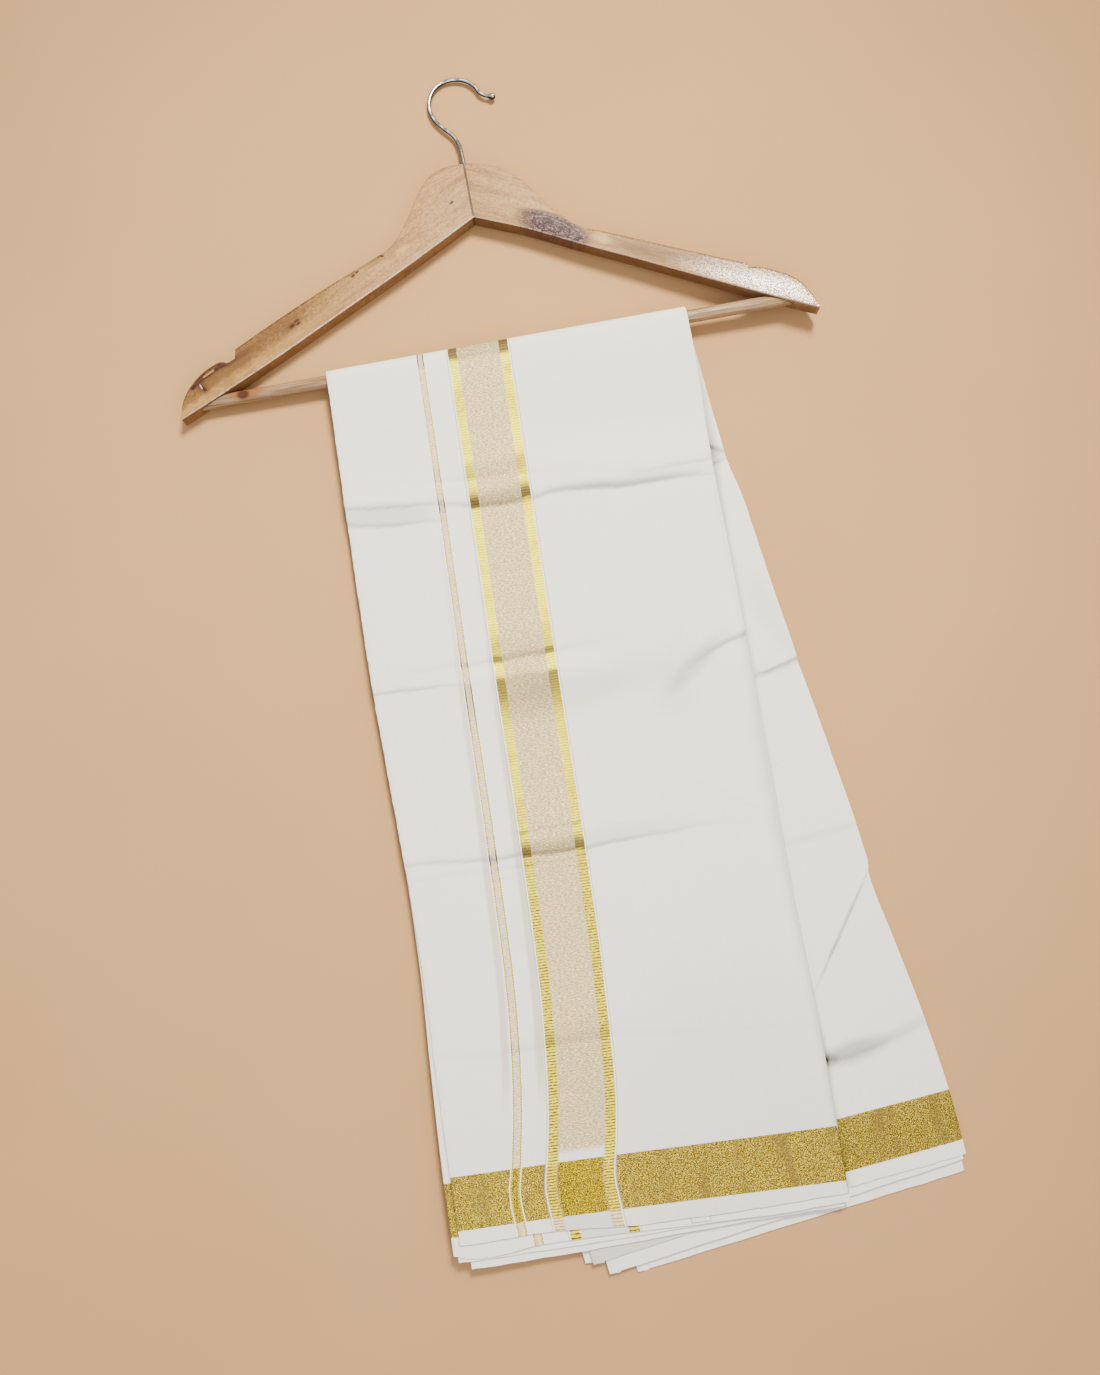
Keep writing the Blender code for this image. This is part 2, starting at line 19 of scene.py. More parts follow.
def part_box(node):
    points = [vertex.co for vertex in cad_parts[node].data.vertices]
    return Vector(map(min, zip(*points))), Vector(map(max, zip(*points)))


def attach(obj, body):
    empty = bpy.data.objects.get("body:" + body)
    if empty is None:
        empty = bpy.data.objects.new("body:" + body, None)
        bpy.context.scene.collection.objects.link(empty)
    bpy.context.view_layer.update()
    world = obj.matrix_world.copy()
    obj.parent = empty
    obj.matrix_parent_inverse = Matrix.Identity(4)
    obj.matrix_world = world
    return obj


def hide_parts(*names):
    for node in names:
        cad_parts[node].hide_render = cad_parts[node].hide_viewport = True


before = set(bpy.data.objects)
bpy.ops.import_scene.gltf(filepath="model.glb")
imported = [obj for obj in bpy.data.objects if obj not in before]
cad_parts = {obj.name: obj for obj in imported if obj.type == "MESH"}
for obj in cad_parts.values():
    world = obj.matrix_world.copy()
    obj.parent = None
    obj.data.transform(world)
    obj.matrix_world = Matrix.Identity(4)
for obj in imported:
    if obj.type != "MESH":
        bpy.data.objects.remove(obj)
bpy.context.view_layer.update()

MM = 0.001
print("nodes:", sorted(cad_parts))

# %% [markdown]
# ## Where things lie
#
# A place on the cloth is easiest to think of as a tailor would: so far across, measured
# along the bar from the middle of the hanger, and so far down from the bar. The solids
# of the frame give the bar's place, its tilt and the levels on which the stacks lie, so
# those are read from them and not typed in again.

# %% The bar, the levels and the turn round the bar
BAR_ENDS = (-211.0, 208.5)
BAR_DIAMETER = 9.0
bar_low, bar_high = (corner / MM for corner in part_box("trouser_bar"))
bar_length = bar_high.x - bar_low.x
ROLL = (bar_high.z - bar_low.z - BAR_DIAMETER) / bar_length
PITCH = 0.0209
BAR = Vector((
    (bar_low.x + bar_high.x) / 2 - sum(BAR_ENDS) / 2,
    (bar_low.y + bar_high.y) / 2,
    (bar_low.z + bar_high.z) / 2 - ROLL * sum(BAR_ENDS) / 2,
))
CAD_WALL = 1.1
FRONT_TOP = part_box("front_border")[0].z / MM + CAD_WALL
FRONT_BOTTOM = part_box("front_folds")[0].z / MM
BACK_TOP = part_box("back_border")[1].z / MM
TURN_OUTSIDE = 6.1
INNER_TURN_OUTSIDE = 5.2
TURN_BULGE = 1.4          # the outer leaf stands off the bar on the hook side
FRONT_SETTLE = 90.0
BACK_SETTLE = 60.0
print("bar at", [round(value, 2) for value in BAR], "roll", round(ROLL, 4))
print("levels:", round(FRONT_TOP, 2), round(FRONT_BOTTOM, 2), round(BACK_TOP, 2))

# %% Outline of each fall
# down, left edge, right edge
FRONT_EDGES = (
    (0, -121.0, 133.7), (50, -122.6, 133.6), (93, -123.9, 131.8), (150, -125.2, 131.3),
    (223, -126.0, 130.6), (290, -125.2, 129.5), (343, -124.2, 128.6), (370, -124.2, 128.0),
    (414, -124.4, 127.2), (469, -126.2, 127.3), (543, -128.4, 125.6), (600, -129.8, 123.9),
)
BACK_EDGES = (
    (0, -121.0, 133.7), (34, -117.0, 137.3), (82, -112.0, 140.8), (97, -110.0, 142.0),
    (112, -108.0, 144.5), (127, -106.0, 147.8), (157, -102.5, 151.8), (186, -99.0, 155.2),
    (244, -91.5, 162.2), (251, -90.5, 162.9), (258, -89.5, 164.0), (315, -82.5, 172.3),
    (372, -76.0, 179.9), (385, -74.5, 181.2), (392, -74.0, 181.9), (399, -73.0, 180.9),
    (412, -71.5, 182.0), (440, -68.0, 187.2), (495, -61.5, 196.4), (522, -58.0, 200.6),
    (547, -55.0, 203.6), (616, -47.0, 207.0),
)
# down, left side of the woven band
BAND_LINE = (
    (0, -35.3), (102, -38.3), (237, -42.6), (341, -45.4), (465, -52.1), (511, -58.2),
    (541, -64.2), (562, -68.9), (581, -68.5), (600, -67.8),
)
print("front falls", FRONT_EDGES[-1][0], "mm, back", BACK_EDGES[-1][0], "mm")

# %% [markdown]
# ## Small tools
#
# Tables of a few measured places are turned into smooth lines here. A straight line
# between two places would leave a corner in the cloth, so each stretch is a cubic that
# leaves and arrives in the direction of its neighbours. The tools work on whole arrays
# of numbers at once, which is what keeps a sheet of twenty thousand points quick.

# %% Smooth lines and steps
def smooth(share):
    share = np.clip(share, 0.0, 1.0)
    return share * share * (3.0 - 2.0 * share)


def blend(low, high, share):
    return low + (high - low) * share


def along(table, place, column=1):
    """Read a column of a table at any places, along a smooth curve through its rows."""
    rows = np.array(table, float)
    keys = rows[:, 0]
    values = rows[:, column]
    slopes = np.gradient(values, keys)
    place = np.asarray(place, float)
    held = np.clip(place, keys[0], keys[-1])
    index = np.clip(np.searchsorted(keys, held) - 1, 0, len(keys) - 2)
    run = keys[index + 1] - keys[index]
    share = (held - keys[index]) / run
    square = share * share
    cube = square * share
    curve = (
        (2 * cube - 3 * square + 1) * values[index]
        + (cube - 2 * square + share) * run * slopes[index]
        + (3 * square - 2 * cube) * values[index + 1]
        + (cube - square) * run * slopes[index + 1]
    )
    ends = np.where(place < keys[0], slopes[0], slopes[-1])
    return curve + (place - held) * ends


def deselect():
    for thing in bpy.context.selected_objects:
        thing.select_set(False)


def select_only(thing):
    deselect()
    thing.select_set(True)
    bpy.context.view_layer.objects.active = thing


def put_in_scene(name, data):
    thing = bpy.data.objects.new(name, data)
    bpy.context.collection.objects.link(thing)
    return thing


def bar_height(across):
    return BAR.z + ROLL * across


print("band starts at", float(along(BAND_LINE, 0)), "and ends at", float(along(BAND_LINE, 600)))

# %% [markdown]
# ## Creases
#
# Cloth that has been stored folded keeps the marks of its cross-folds. Most of them are
# long low swells that end in a sharp little valley on the hem side; one is a sharp ridge
# with a long fall. A simulation would smooth these away, so they are listed here, and
# none of them runs quite straight or keeps its height.

# %% Crease tables
# across, down, height, width of the fall on the hem side
FRONT_VALLEYS = (
    ((-130, 78, 0.2, 9), (-63, 86, 0.5, 8), (-40, 87.2, 1.2, 8), (0, 90, 1.2, 9),
     (37, 94, 0.7, 10), (67, 100.4, 0.8, 9), (95, 104.6, 1.1, 8), (112, 103.5, 1.4, 6),
     (131, 103.7, 1.4, 6)),
    ((-128, 93, 1.6, 6), (-89, 99, 1.8, 7), (-62, 101, 1.8, 7), (-41.5, 105.7, 2.2, 9),
     (-18, 109.2, 2.4, 10), (1, 109.2, 2.9, 10), (17, 107, 2.9, 9), (40, 108.3, 3.6, 9),
     (63, 111, 3.7, 9), (82, 112.1, 3.3, 9), (100, 112.2, 2.8, 8), (118, 112.5, 1.8, 7),
     (131, 113.5, 1.0, 6)),
    ((-128, 104, 1.5, 5), (-99.5, 109.9, 1.8, 6), (-89, 110.6, 1.6, 5),
     (-64, 112.7, 0.9, 5), (-51, 113.5, 0.3, 4), (-40, 114, 0.0, 4), (131, 118, 0.0, 5)),
    ((-128, 213, 0.0, 8), (-61.4, 215.2, 0.9, 7), (-38.7, 215.8, 1.5, 7),
     (-2.2, 216.2, 1.3, 7), (30, 215, 0.6, 10), (60, 213, 0.0, 12), (131, 210, 0.0, 12)),
    ((-128, 224, 1.5, 5), (-95, 225.5, 1.7, 5), (-64.9, 228, 1.1, 5), (-50, 229, 0.4, 5),
     (-40, 229, 0.0, 5), (131, 229, 0.0, 5)),
    ((65, 285, 0.0, 30), (78.5, 264, 1.1, 22), (88.7, 246, 2.2, 17), (103.8, 236.5, 2.7, 12),
     (118, 231.5, 2.9, 9), (128, 229, 2.4, 6), (133, 228, 2.2, 5)),
    ((-128, 340.6, 1.2, 6), (-90.9, 344.6, 1.4, 6), (-71.8, 346.8, 1.4, 5),
     (-42.7, 348.7, 2.2, 6), (-5.1, 350.9, 2.2, 6), (26.2, 350.5, 1.9, 7),
     (54.9, 350.4, 1.6, 8), (81.2, 350.2, 1.1, 9), (106.7, 353.6, 0.4, 10),
     (131, 355, 0.0, 12)),
    ((-128, 331, 0.0, 4), (-60, 332, 0.0, 4), (-44.5, 332.2, 0.7, 3),
     (-17.4, 333.1, 0.6, 4), (10, 333, 0.0, 5), (131, 333, 0.0, 5)),
    ((-128, 352, 0.5, 4), (-70, 353.5, 0.5, 4), (-43.8, 355, 0.7, 2.5), (-25, 356, 0.0, 4),
     (131, 356, 0.0, 4)),
    ((-129, 469.1, 0.5, 10), (-89.8, 473, 0.8, 12), (-49.9, 473.8, 1.5, 13),
     (-12, 474.2, 1.5, 14), (15, 478, 0.8, 14), (60, 484, 0.6, 12), (125, 492, 0.4, 10)),
)
# across, down, height, widths of the rise above the line and of the fall below it
FRONT_RIDGES = (
    ((-130, 228, 0.0, 10, 30), (-64, 229, 0.8, 12, 36), (-37, 229, 2.0, 12, 44),
     (-3, 229.2, 2.1, 12, 46), (28, 232, 1.3, 14, 44), (70, 238, 0.7, 16, 40),
     (105, 250, 0.0, 18, 40), (131, 260, 0.0, 18, 40)),
    ((75, 315, 0.0, 3, 3), (79, 318, 0.6, 3, 3), (92.6, 328.7, 0.7, 3, 3),
     (104.6, 337.1, 0.6, 3, 3), (119, 344.4, 0.0, 3, 3)),
)
BACK_VALLEYS = (
    ((128, 90, 1.7, 4), (131.3, 92.8, 1.8, 4), (140.6, 97.8, 1.3, 4), (150, 102, 1.0, 4)),
    ((128, 106, 1.3, 5), (134, 105.5, 1.4, 5), (141, 104.3, 1.3, 5), (150, 103, 1.0, 5)),
    ((130, 257.5, 0.5, 3), (134.6, 256.5, 1.3, 3), (150, 253, 1.7, 3), (162, 250.5, 1.9, 3),
     (172, 248.5, 1.9, 3)),
    ((126, 373, 0.5, 7), (150, 370, 0.6, 7), (180, 367.6, 0.5, 7)),
    ((126, 517, 1.9, 12), (150, 516, 1.7, 12), (165, 513, 1.4, 11), (196.5, 505, 0.9, 10)),
)
BACK_RIDGES = (
    ((129.1, 470.5, 1.0, 3, 2.5), (150, 441.5, 1.1, 3, 2.5), (181.5, 397.5, 1.0, 3, 2.5)),
)
# down, across, height of a faint crease that runs down the front
CREASE_DOWN = ((360, 60.2, 0.0), (372, 58.4, 0.4), (428, 47.9, 0.5), (504, 33.7, 0.4),
               (540, 27.0, 0.0))
print(len(FRONT_VALLEYS) + len(FRONT_RIDGES), "creases in front,",
      len(BACK_VALLEYS) + len(BACK_RIDGES), "behind")


# %% Valleys, ridges and the crease that runs down
VALLEY_RISE = 23.75       # how slowly the cloth rises to a valley's swell
VALLEY_POWER = 3.0        # how steeply it then falls
RIDGE_POWER = 2
CREASE_WIDTH = 3.0        # of the crease that runs down


def waves(place, seed, lengths):
    """Waves of some lengths added up, each starting at a random point."""
    random = np.random.default_rng(seed)
    return sum(np.sin(place * 2 * math.pi / length + random.uniform(0, 2 * math.pi))
               for length in lengths)


def wobble(across, seed, size=0.7):
    """A crease is never quite straight."""
    return waves(across, seed, (13.0, 29.0, 61.0)) * size / 3


def ripple(across, size, seed):
    """The slight unevenness of a woven edge."""
    return waves(across, seed, (9.0, 21.0, 47.0)) * size


def read(line, across, column):
    return np.interp(across, [row[0] for row in line], [row[column] for row in line])


def valleys(creases, across, down):
    """Swells that rise slowly, and fall ever more steeply into a sharp valley."""
    relief = np.zeros_like(across, float)
    for seed, line in enumerate(creases):
        fall = read(line, across, 3)
        past_top = down - along(line, across) - wobble(across, seed) + fall
        rising = np.exp(-(np.minimum(past_top, 0.0) / VALLEY_RISE) ** 2)
        falling = 1.0 - np.clip(past_top / fall, 0.0, 1.0) ** VALLEY_POWER
        relief += read(line, across, 2) * np.where(past_top < 0, rising, falling)
    return relief


def ridges(creases, across, down):
    """Ridges that rise smoothly, break sharply at the top and ease out below."""
    relief = np.zeros_like(across, float)
    for seed, line in enumerate(creases):
        past_top = down - along(line, across) - wobble(across, seed + 40)
        rising = smooth(1.0 + past_top / read(line, across, 3))
        falling = np.clip(1.0 - past_top / read(line, across, 4), 0.0, 1.0) ** RIDGE_POWER
        relief += read(line, across, 2) * np.where(past_top < 0, rising, falling)
    return relief


def crease_down(across, down):
    beside = across - along(CREASE_DOWN, down)
    return read(CREASE_DOWN, down, 2) * np.exp(-(beside / CREASE_WIDTH) ** 2)


print("a crease wobbles by", round(float(np.ptp(wobble(np.arange(250.0), 0))), 2), "mm")


# %% Slack, lift and the swollen edge
SLACK_HEIGHT = 0.10


def slack(across, down, seed):
    """The broad, barely visible unevenness of cloth that lies loose."""
    random = np.random.default_rng(seed)
    relief = np.zeros_like(across, float)
    for length in (55.0, 80.0, 120.0, 170.0):
        turn = random.uniform(0, math.pi)
        phase = random.uniform(0, 2 * math.pi)
        ahead = across * math.cos(turn) + down * math.sin(turn)
        relief += SLACK_HEIGHT * np.sin(ahead * 2 * math.pi / length + phase)
    return relief


CORNER_LIFT = 4.0
LIFT_WIDTH = 70.0
FAN_START = 330.0         # how far down the stack starts to lift and to fan out
FAN_RUN = 250.0


def corner_lift(across, down):
    """The front stack bridges off the stack behind it, so its left corner stays up."""
    past_band = np.maximum(along(BAND_LINE, down) - across, 0.0)
    return CORNER_LIFT * past_band / LIFT_WIDTH * smooth((down - FAN_START) / FAN_RUN)


# down, how far in from the right edge its swell reaches, and how high it stands
EDGE_SWELL = ((40, 3.0, 0.4), (130, 5.0, 1.0), (240, 7.0, 1.3), (310, 14.0, 2.6),
              (400, 9.0, 1.6), (520, 5.0, 0.7), (600, 4.0, 0.4))


def near_edge(across, down):
    width = np.maximum(along(EDGE_SWELL, down), 2.0)
    return np.clip(1.0 - (along(FRONT_EDGES, down, 2) - across) / width, 0.0, 1.0)


def edge_swell(across, down):
    """The many leaves folded together make the right edge bulge."""
    return np.maximum(along(EDGE_SWELL, down, 2), 0.0) * near_edge(across, down) ** 3


print("left corner stands", round(float(corner_lift(-130.0, 600.0)), 1), "mm higher")


# %% Heights of the front and of the back
def front_relief(across, down):
    return (
        valleys(FRONT_VALLEYS, across, down)
        + ridges(FRONT_RIDGES, across, down)
        + corner_lift(across, down)
        + slack(across, down, 3) * smooth(down / 60.0)
        + edge_swell(across, down)
        + crease_down(across, down)
    )


def front_top(across, down):
    """Upper side of the visible front leaf, in mm above the surface it lies on."""
    settled = smooth(down / FRONT_SETTLE)
    lying = blend(bar_height(across) + TURN_OUTSIDE, FRONT_TOP, settled)
    return lying + front_relief(across, down)


def front_bottom(across, down):
    settled = smooth(down / FRONT_SETTLE)
    lying = blend(bar_height(across) + INNER_TURN_OUTSIDE, FRONT_BOTTOM, settled)
    creases = valleys(FRONT_VALLEYS, across, down) + ridges(FRONT_RIDGES, across, down)
    return lying + creases + corner_lift(across, down)


def back_relief(across, down):
    relief = valleys(BACK_VALLEYS, across, down) + ridges(BACK_RIDGES, across, down)
    return relief + slack(across, down, 8)


BACK_TURN_LIFT = 0.7      # the back leaf starts this much above the turn's lowest point
HIDDEN_REACH = 6.0        # relief fades out over this far under the front
HEM_CURL = 1.4            # how far the right edge curls down near the hem
CURL_REACH = 3.0
CURL_START = 500.0
CURL_RUN = 60.0


def back_top(across, down):
    settled = smooth(down / BACK_SETTLE)
    start = bar_height(across) - INNER_TURN_OUTSIDE + BACK_TURN_LIFT
    shown = smooth((across - along(FRONT_EDGES, down, 2)) / HIDDEN_REACH + 1.0)
    inside_edge = np.maximum(along(BACK_EDGES, down, 2) - across, 0.0)
    curl = HEM_CURL * np.exp(-inside_edge / CURL_REACH) * smooth((down - CURL_START) / CURL_RUN)
    return blend(start, BACK_TOP, settled) + shown * (back_relief(across, down) - curl)


print("front lies", round(float(front_top(0.0, 300.0)), 2), "mm up, halfway down")

# %% [markdown]
# ## Where light is lost
#
# Thin cotton that lies flat on more cotton is bright, because light that goes through it
# comes back. Where it stands off the layer below, some of that light is lost in the hollow,
# and the place looks grey. Gold thread does not let light through at all: it goes dark
# brown wherever it turns away from the lamp. Both are painted shade: they are worked out
# here for every point of a leaf and kept with the mesh, and the material darkens the
# colour by them.

# %% Tables of hollows and of shaded gold
# across, down, turn in degrees, half the length, half the width, share of light lost
HOLLOWS = (
    (-95, 102, 8, 40, 8, 0.22), (-20, 104, 0, 25, 5, 0.10), (85, 107, 0, 55, 5, 0.10),
    (0, 246, 0, 45, 14, 0.15), (60, 240, 0, 40, 16, 0.10), (92, 242, -38, 28, 7, 0.22),
    (75, 262, 0, 15, 14, 0.08), (10, 343, 0, 60, 6, 0.10), (60, 560, 0, 95, 130, 0.09),
)
# down, reach of the shade beside the front's right edge, share of light lost
EDGE_SHADE = ((0, 7.0, 0.3), (60, 9.0, 0.4), (90, 9.0, 0.55), (130, 6.0, 0.50),
              (230, 5.0, 0.36), (300, 3.0, 0.30), (480, 3.0, 0.30), (515, 5.0, 0.5),
              (535, 4.5, 0.36), (600, 4.5, 0.30))
BACK_HOLLOWS = (
    (150, 215, 70, 40, 10, 0.10), (136, 97, 20, 12, 5, 0.15), (156.2, 433, 126, 42, 1.3, 0.40),
    (146, 513, -8, 26, 8, 0.42), (182, 506, -18, 22, 5, 0.16), (130, 516, 0, 6, 5, 0.25),
    (150, 254, -12, 24, 2.5, 0.22), (155, 370, -6, 32, 3, 0.08),
)
# down: where gold starts to darken, is darkest, starts to clear and is clear; how dark
GOLD_SHADE = (
    (-40.0, -30.0, 1.5, 5.5, 1.0), (74.0, 79.0, 86.0, 89.0, 0.50), (93.0, 103.0, 107.0, 109.0, 1.0),
    (190.0, 207.0, 212.0, 217.0, 0.35), (210.5, 212.5, 215.5, 217.0, 0.85),
    (226.0, 229.0, 235.0, 270.0, 0.85), (331.5, 332.0, 333.0, 334.0, 0.5),
    (337.0, 346.0, 349.5, 351.0, 0.95), (353.5, 354.0, 355.0, 356.0, 0.6),
    (360.0, 360.5, 361.5, 362.0, 0.4), (461.0, 470.0, 473.5, 475.0, 0.4),
)


print(len(HOLLOWS) + len(BACK_HOLLOWS), "hollows and", len(GOLD_SHADE),
      "shaded stretches of gold")

# %% Light lost under the cloth, and gold in shade
STEEP_SHADE = 0.28        # share of light lost where the cloth falls steeply
STEEP_FROM = 0.15
STEEP_RUN = 0.6
HOLLOW_CORE = 0.4         # share of a hollow's size that is evenly dark
HOLLOW_RUN = 0.9
SLOPE_STEP = 0.6          # mm up and down between which a slope is measured
EDGE_LOSS = 0.5           # share lost right at the edge of the leaf above
EDGE_REACH = 0.5


def fall_of(relief, across, down):
    """How steeply the cloth falls towards the hem."""
    drop = relief(across, down - SLOPE_STEP) - relief(across, down + SLOPE_STEP)
    return drop / (2 * SLOPE_STEP)


def hollow_under(relief, across, down, hollows):
    """Share of light lost under the cloth."""
    lost = STEEP_SHADE * smooth((fall_of(relief, across, down) - STEEP_FROM) / STEEP_RUN)
    for centre, middle, turn, half_length, half_width, depth in hollows:
        turn_cos, turn_sin = math.cos(math.radians(turn)), math.sin(math.radians(turn))
        ahead = (across - centre) * turn_cos + (down - middle) * turn_sin
        aside = (down - middle) * turn_cos - (across - centre) * turn_sin
        away = np.hypot(ahead / half_length, aside / half_width)
        lost += depth * (1.0 - smooth((away - HOLLOW_CORE) / HOLLOW_RUN))
    return lost


def gold_shade(across, down):
    """How far the gold thread has turned away from the light."""
    shade = np.zeros_like(across, float)
    for seed, (start, darkest, clearing, clear, depth) in enumerate(GOLD_SHADE):
        place = down - wobble(across, seed + 60, 1.6)
        darkened = smooth((place - start) / (darkest - start))
        cleared = smooth((place - clearing) / (clear - clearing))
        shade = np.maximum(shade, depth * darkened * (1.0 - cleared))
    return shade


def under_edge(past):
    """Light lost where a leaf comes out from under the edge of the one above."""
    return EDGE_LOSS * np.exp(-np.maximum(past, 0.0) / EDGE_REACH)


def painted_shade_and_freshness(lost, shade=0.0, fresh=0.0):
    """Painted shade (light lost, gold in shade), and how fresh the gold of the hem's stripes still
    is.
    """
    return np.stack(np.broadcast_arrays(lost, shade, fresh), axis=1)


print("darkest gold at 106 mm down:", round(float(gold_shade(0.0, 106.0)), 2))

# %% [markdown]
# ## One way to make every leaf
#
# Each leaf of the stack is one sheet. A grid is added, and each of its points is then
# moved to where the cloth lies. Its first and last few columns go round a tiny radius
# and a little way back underneath, as a folded edge does, so that the edge catches the
# light softly. Solidify gives it its thickness, and the UV map keeps where each point
# was on the loom, in metres, because the woven pattern has to follow the cloth.

# %% Rows, columns and folded edges
FOLD_RADIUS = 0.42
FOLD_FLAP = 7.0
FOLD_BENDS = (0.30, 0.55, 0.8, 1.0, 2.0)    # half turns; past 1 it lies flat beneath
CLOTH_THICKNESS = 0.4
BORDER_TOP = 550.0        # along the loom, from the top of the turn
BORDER_BOTTOM = 584.3
HEM = 593.0


def spaced(*stretches):
    """Shares from 0 to 1, in stretches that end at a share after a number of cells."""
    shares = [0.0]
    for end, cells in stretches:
        shares += list(np.linspace(shares[-1], end, cells + 1)[1:])
    return shares


def folded_columns(shares):
    """Columns of a sheet: its share across, and how far it has gone round a fold."""
    left = [(0.0, bend, -1) for bend in FOLD_BENDS]
    right = [(1.0, bend, 1) for bend in FOLD_BENDS]
    return left[::-1] + [(share, 0.0, 0) for share in shares] + right


def fold_offsets(columns):
    """How far each column moves out across, and drops, as it goes round its fold."""
    out = []
    drop = []
    for _, bend, side in columns:
        angle = min(bend, 1.0) * math.pi
        flap = max(bend - 1.0, 0.0) * FOLD_FLAP
        out.append(side * (FOLD_RADIUS * math.sin(angle) - flap))
        drop.append(FOLD_RADIUS * (1.0 - math.cos(angle)))
    return np.array(out), np.array(drop)


def leaf_rows(start, *cells, turn=0.0, turn_cells=0):
    """Rows in mm along the loom: round the bar, to the border, across it, to the hem."""
    rows = [-turn * (1 - step / turn_cells) for step in range(turn_cells)]
    ends = (start, BORDER_TOP, BORDER_BOTTOM, HEM)
    for first, last, count in zip(ends, ends[1:], cells):
        rows += list(np.linspace(first, last, count + 1)[:-1])
    return [*rows, HEM]


def in_frame(across, down, height):
    """Points of the frame, in mm, from places on the hanging cloth."""
    return np.stack((BAR.x + across, BAR.y - down, height), axis=1)


def between_edges(edges, down, share, out, wider_left=0.0, wider_right=0.0):
    """Across at a share of a leaf that reaches a little past a pair of edges."""
    left = along(edges, down, 1) - wider_left + FOLD_RADIUS
    right = along(edges, down, 2) + wider_right - FOLD_RADIUS
    return blend(left, right, share) + out


def round_bar(side, turned, across, radius, bulge=0.0):
    """Down and height of cloth that turns over the bar, or with side -1 under it."""
    angle = side * (math.pi / 2 + turned)
    return -(radius + bulge) * np.cos(angle), bar_height(across) + radius * np.sin(angle)


print("an edge goes round", len(FOLD_BENDS), "columns")


# %% Make a sheet from a grid
def make_sheet(name, columns, rows, lay):
    """lay(share, out, drop, row) gives each point, its place on the loom, its painted shade and
    fresh gold.
    """
    deselect()
    bpy.ops.mesh.primitive_grid_add(
        x_subdivisions=len(columns) - 1, y_subdivisions=len(rows) - 1, size=1.0)
    sheet = bpy.context.object
    sheet.name = name
    mesh = sheet.data
    flat = np.empty(len(mesh.vertices) * 3, np.float32)
    mesh.vertices.foreach_get("co", flat)
    flat = flat.reshape(-1, 3)
    column = np.rint((flat[:, 0] + 0.5) * (len(columns) - 1)).astype(int)
    row = np.rint((0.5 - flat[:, 1]) * (len(rows) - 1)).astype(int)
    share = np.array([entry[0] for entry in columns])[column]
    out, drop = (offsets[column] for offsets in fold_offsets(columns))
    points, cloth, lie = lay(share, out, drop, np.array(rows, float)[row])
    mesh.vertices.foreach_set("co", (points * MM).astype(np.float32).ravel())
    corners = np.empty(len(mesh.loops), np.int32)
    mesh.loops.foreach_get("vertex_index", corners)
    places = (cloth[corners] * MM).astype(np.float32)
    mesh.uv_layers.active.data.foreach_set("uv", places.ravel())
    # painted shade and the freshness of the gold go with the mesh
    kept = mesh.attributes.new("lie", "FLOAT_VECTOR", "POINT")
    kept.data.foreach_set("vector", lie.astype(np.float32).ravel())
    mesh.update()
    wall = sheet.modifiers.new("thickness", "SOLIDIFY")
    wall.thickness = CLOTH_THICKNESS * MM
    wall.offset = -1.0
    bpy.ops.object.modifier_apply(modifier=wall.name)
    bpy.ops.object.shade_smooth_by_angle(angle=math.radians(50.0))
    print(name, len(sheet.data.polygons), "faces")
    return sheet


# %% [markdown]
# ## The front leaf
#
# The outer leaf comes up from below the bar, turns over it and falls to its hem in one
# piece. Rows are counted in millimetres down from the top of the turn, and they tilt as
# the hem does. Below the border the cloth ends in a plain white selvedge.

# %% Lines that close the front
FRONT_BORDER_TOP = (543.1, 556.9)
FRONT_BORDER_BOTTOM = (577.0, 591.7)
FRONT_HEM = (
    (-129.2, 586.3), (-64.4, 589.1), (-11.7, 595.0), (20.0, 596.4), (34.2, 597.3),
    (65.9, 598.3), (123.9, 599.7),
)
TURN_LENGTH = math.pi * TURN_OUTSIDE
EDGE_RIPPLE = 0.10
EDGE_SHARE = 0.02         # the columns that ripple with the left edge
HEM_RIPPLE = 0.12
BULGE_LOSS = 0.25         # light lost on the bulge of the right edge
BULGE_START = 180.0
BULGE_RUN = 60.0


def hanging_down(row, share, top_line, bottom_line, hem_table, edges):
    """How far down the point of a row lies: rows tilt to meet the border's lines."""
    top = blend(*top_line, share)
    bottom = blend(*bottom_line, share)
    down = np.where(row <= BORDER_TOP, row / BORDER_TOP * top, 0.0)
    in_border = (row - BORDER_TOP) / (BORDER_BOTTOM - BORDER_TOP)
    down = np.where(row > BORDER_TOP, blend(top, bottom, in_border), down)
    across = blend(along(edges, bottom, 1), along(edges, bottom, 2), share)
    hem = along(hem_table, across) + ripple(across, HEM_RIPPLE, 5)
    past = (row - BORDER_BOTTOM) / (HEM - BORDER_BOTTOM)
    return np.where(row > BORDER_BOTTOM, blend(bottom, hem, past), down)


def lay_front(share, out, drop, row):
    turning = row < 0
    down = np.where(turning, 0.0, hanging_down(
        row, share, FRONT_BORDER_TOP, FRONT_BORDER_BOTTOM, FRONT_HEM, FRONT_EDGES))
    across = between_edges(FRONT_EDGES, down, share, out)
    across = across + np.where(share < EDGE_SHARE, ripple(down, EDGE_RIPPLE, 21), 0.0)
    around, over = round_bar(1, row / TURN_OUTSIDE, across, TURN_OUTSIDE - drop, TURN_BULGE)
    height = np.where(turning, over, front_top(across, down) - drop)
    down = np.where(turning, around, down)
    cloth = np.stack((across - along(BAND_LINE, down), row), axis=1)
    lost = hollow_under(front_relief, across, down, HOLLOWS)
    bulging = near_edge(across, down) ** 2 * smooth((down - BULGE_START) / BULGE_RUN)
    lost = lost + BULGE_LOSS * bulging
    return in_frame(across, down, height), cloth, painted_shade_and_freshness(lost, gold_shade(across, down))


front_rows = leaf_rows(0.0, 469, 16, 5, turn=TURN_LENGTH, turn_cells=14)
front_columns = folded_columns(spaced((0.92, 58), (1.0, 14)))
front_leaf = make_sheet("front_leaf", front_columns, front_rows, lay_front)

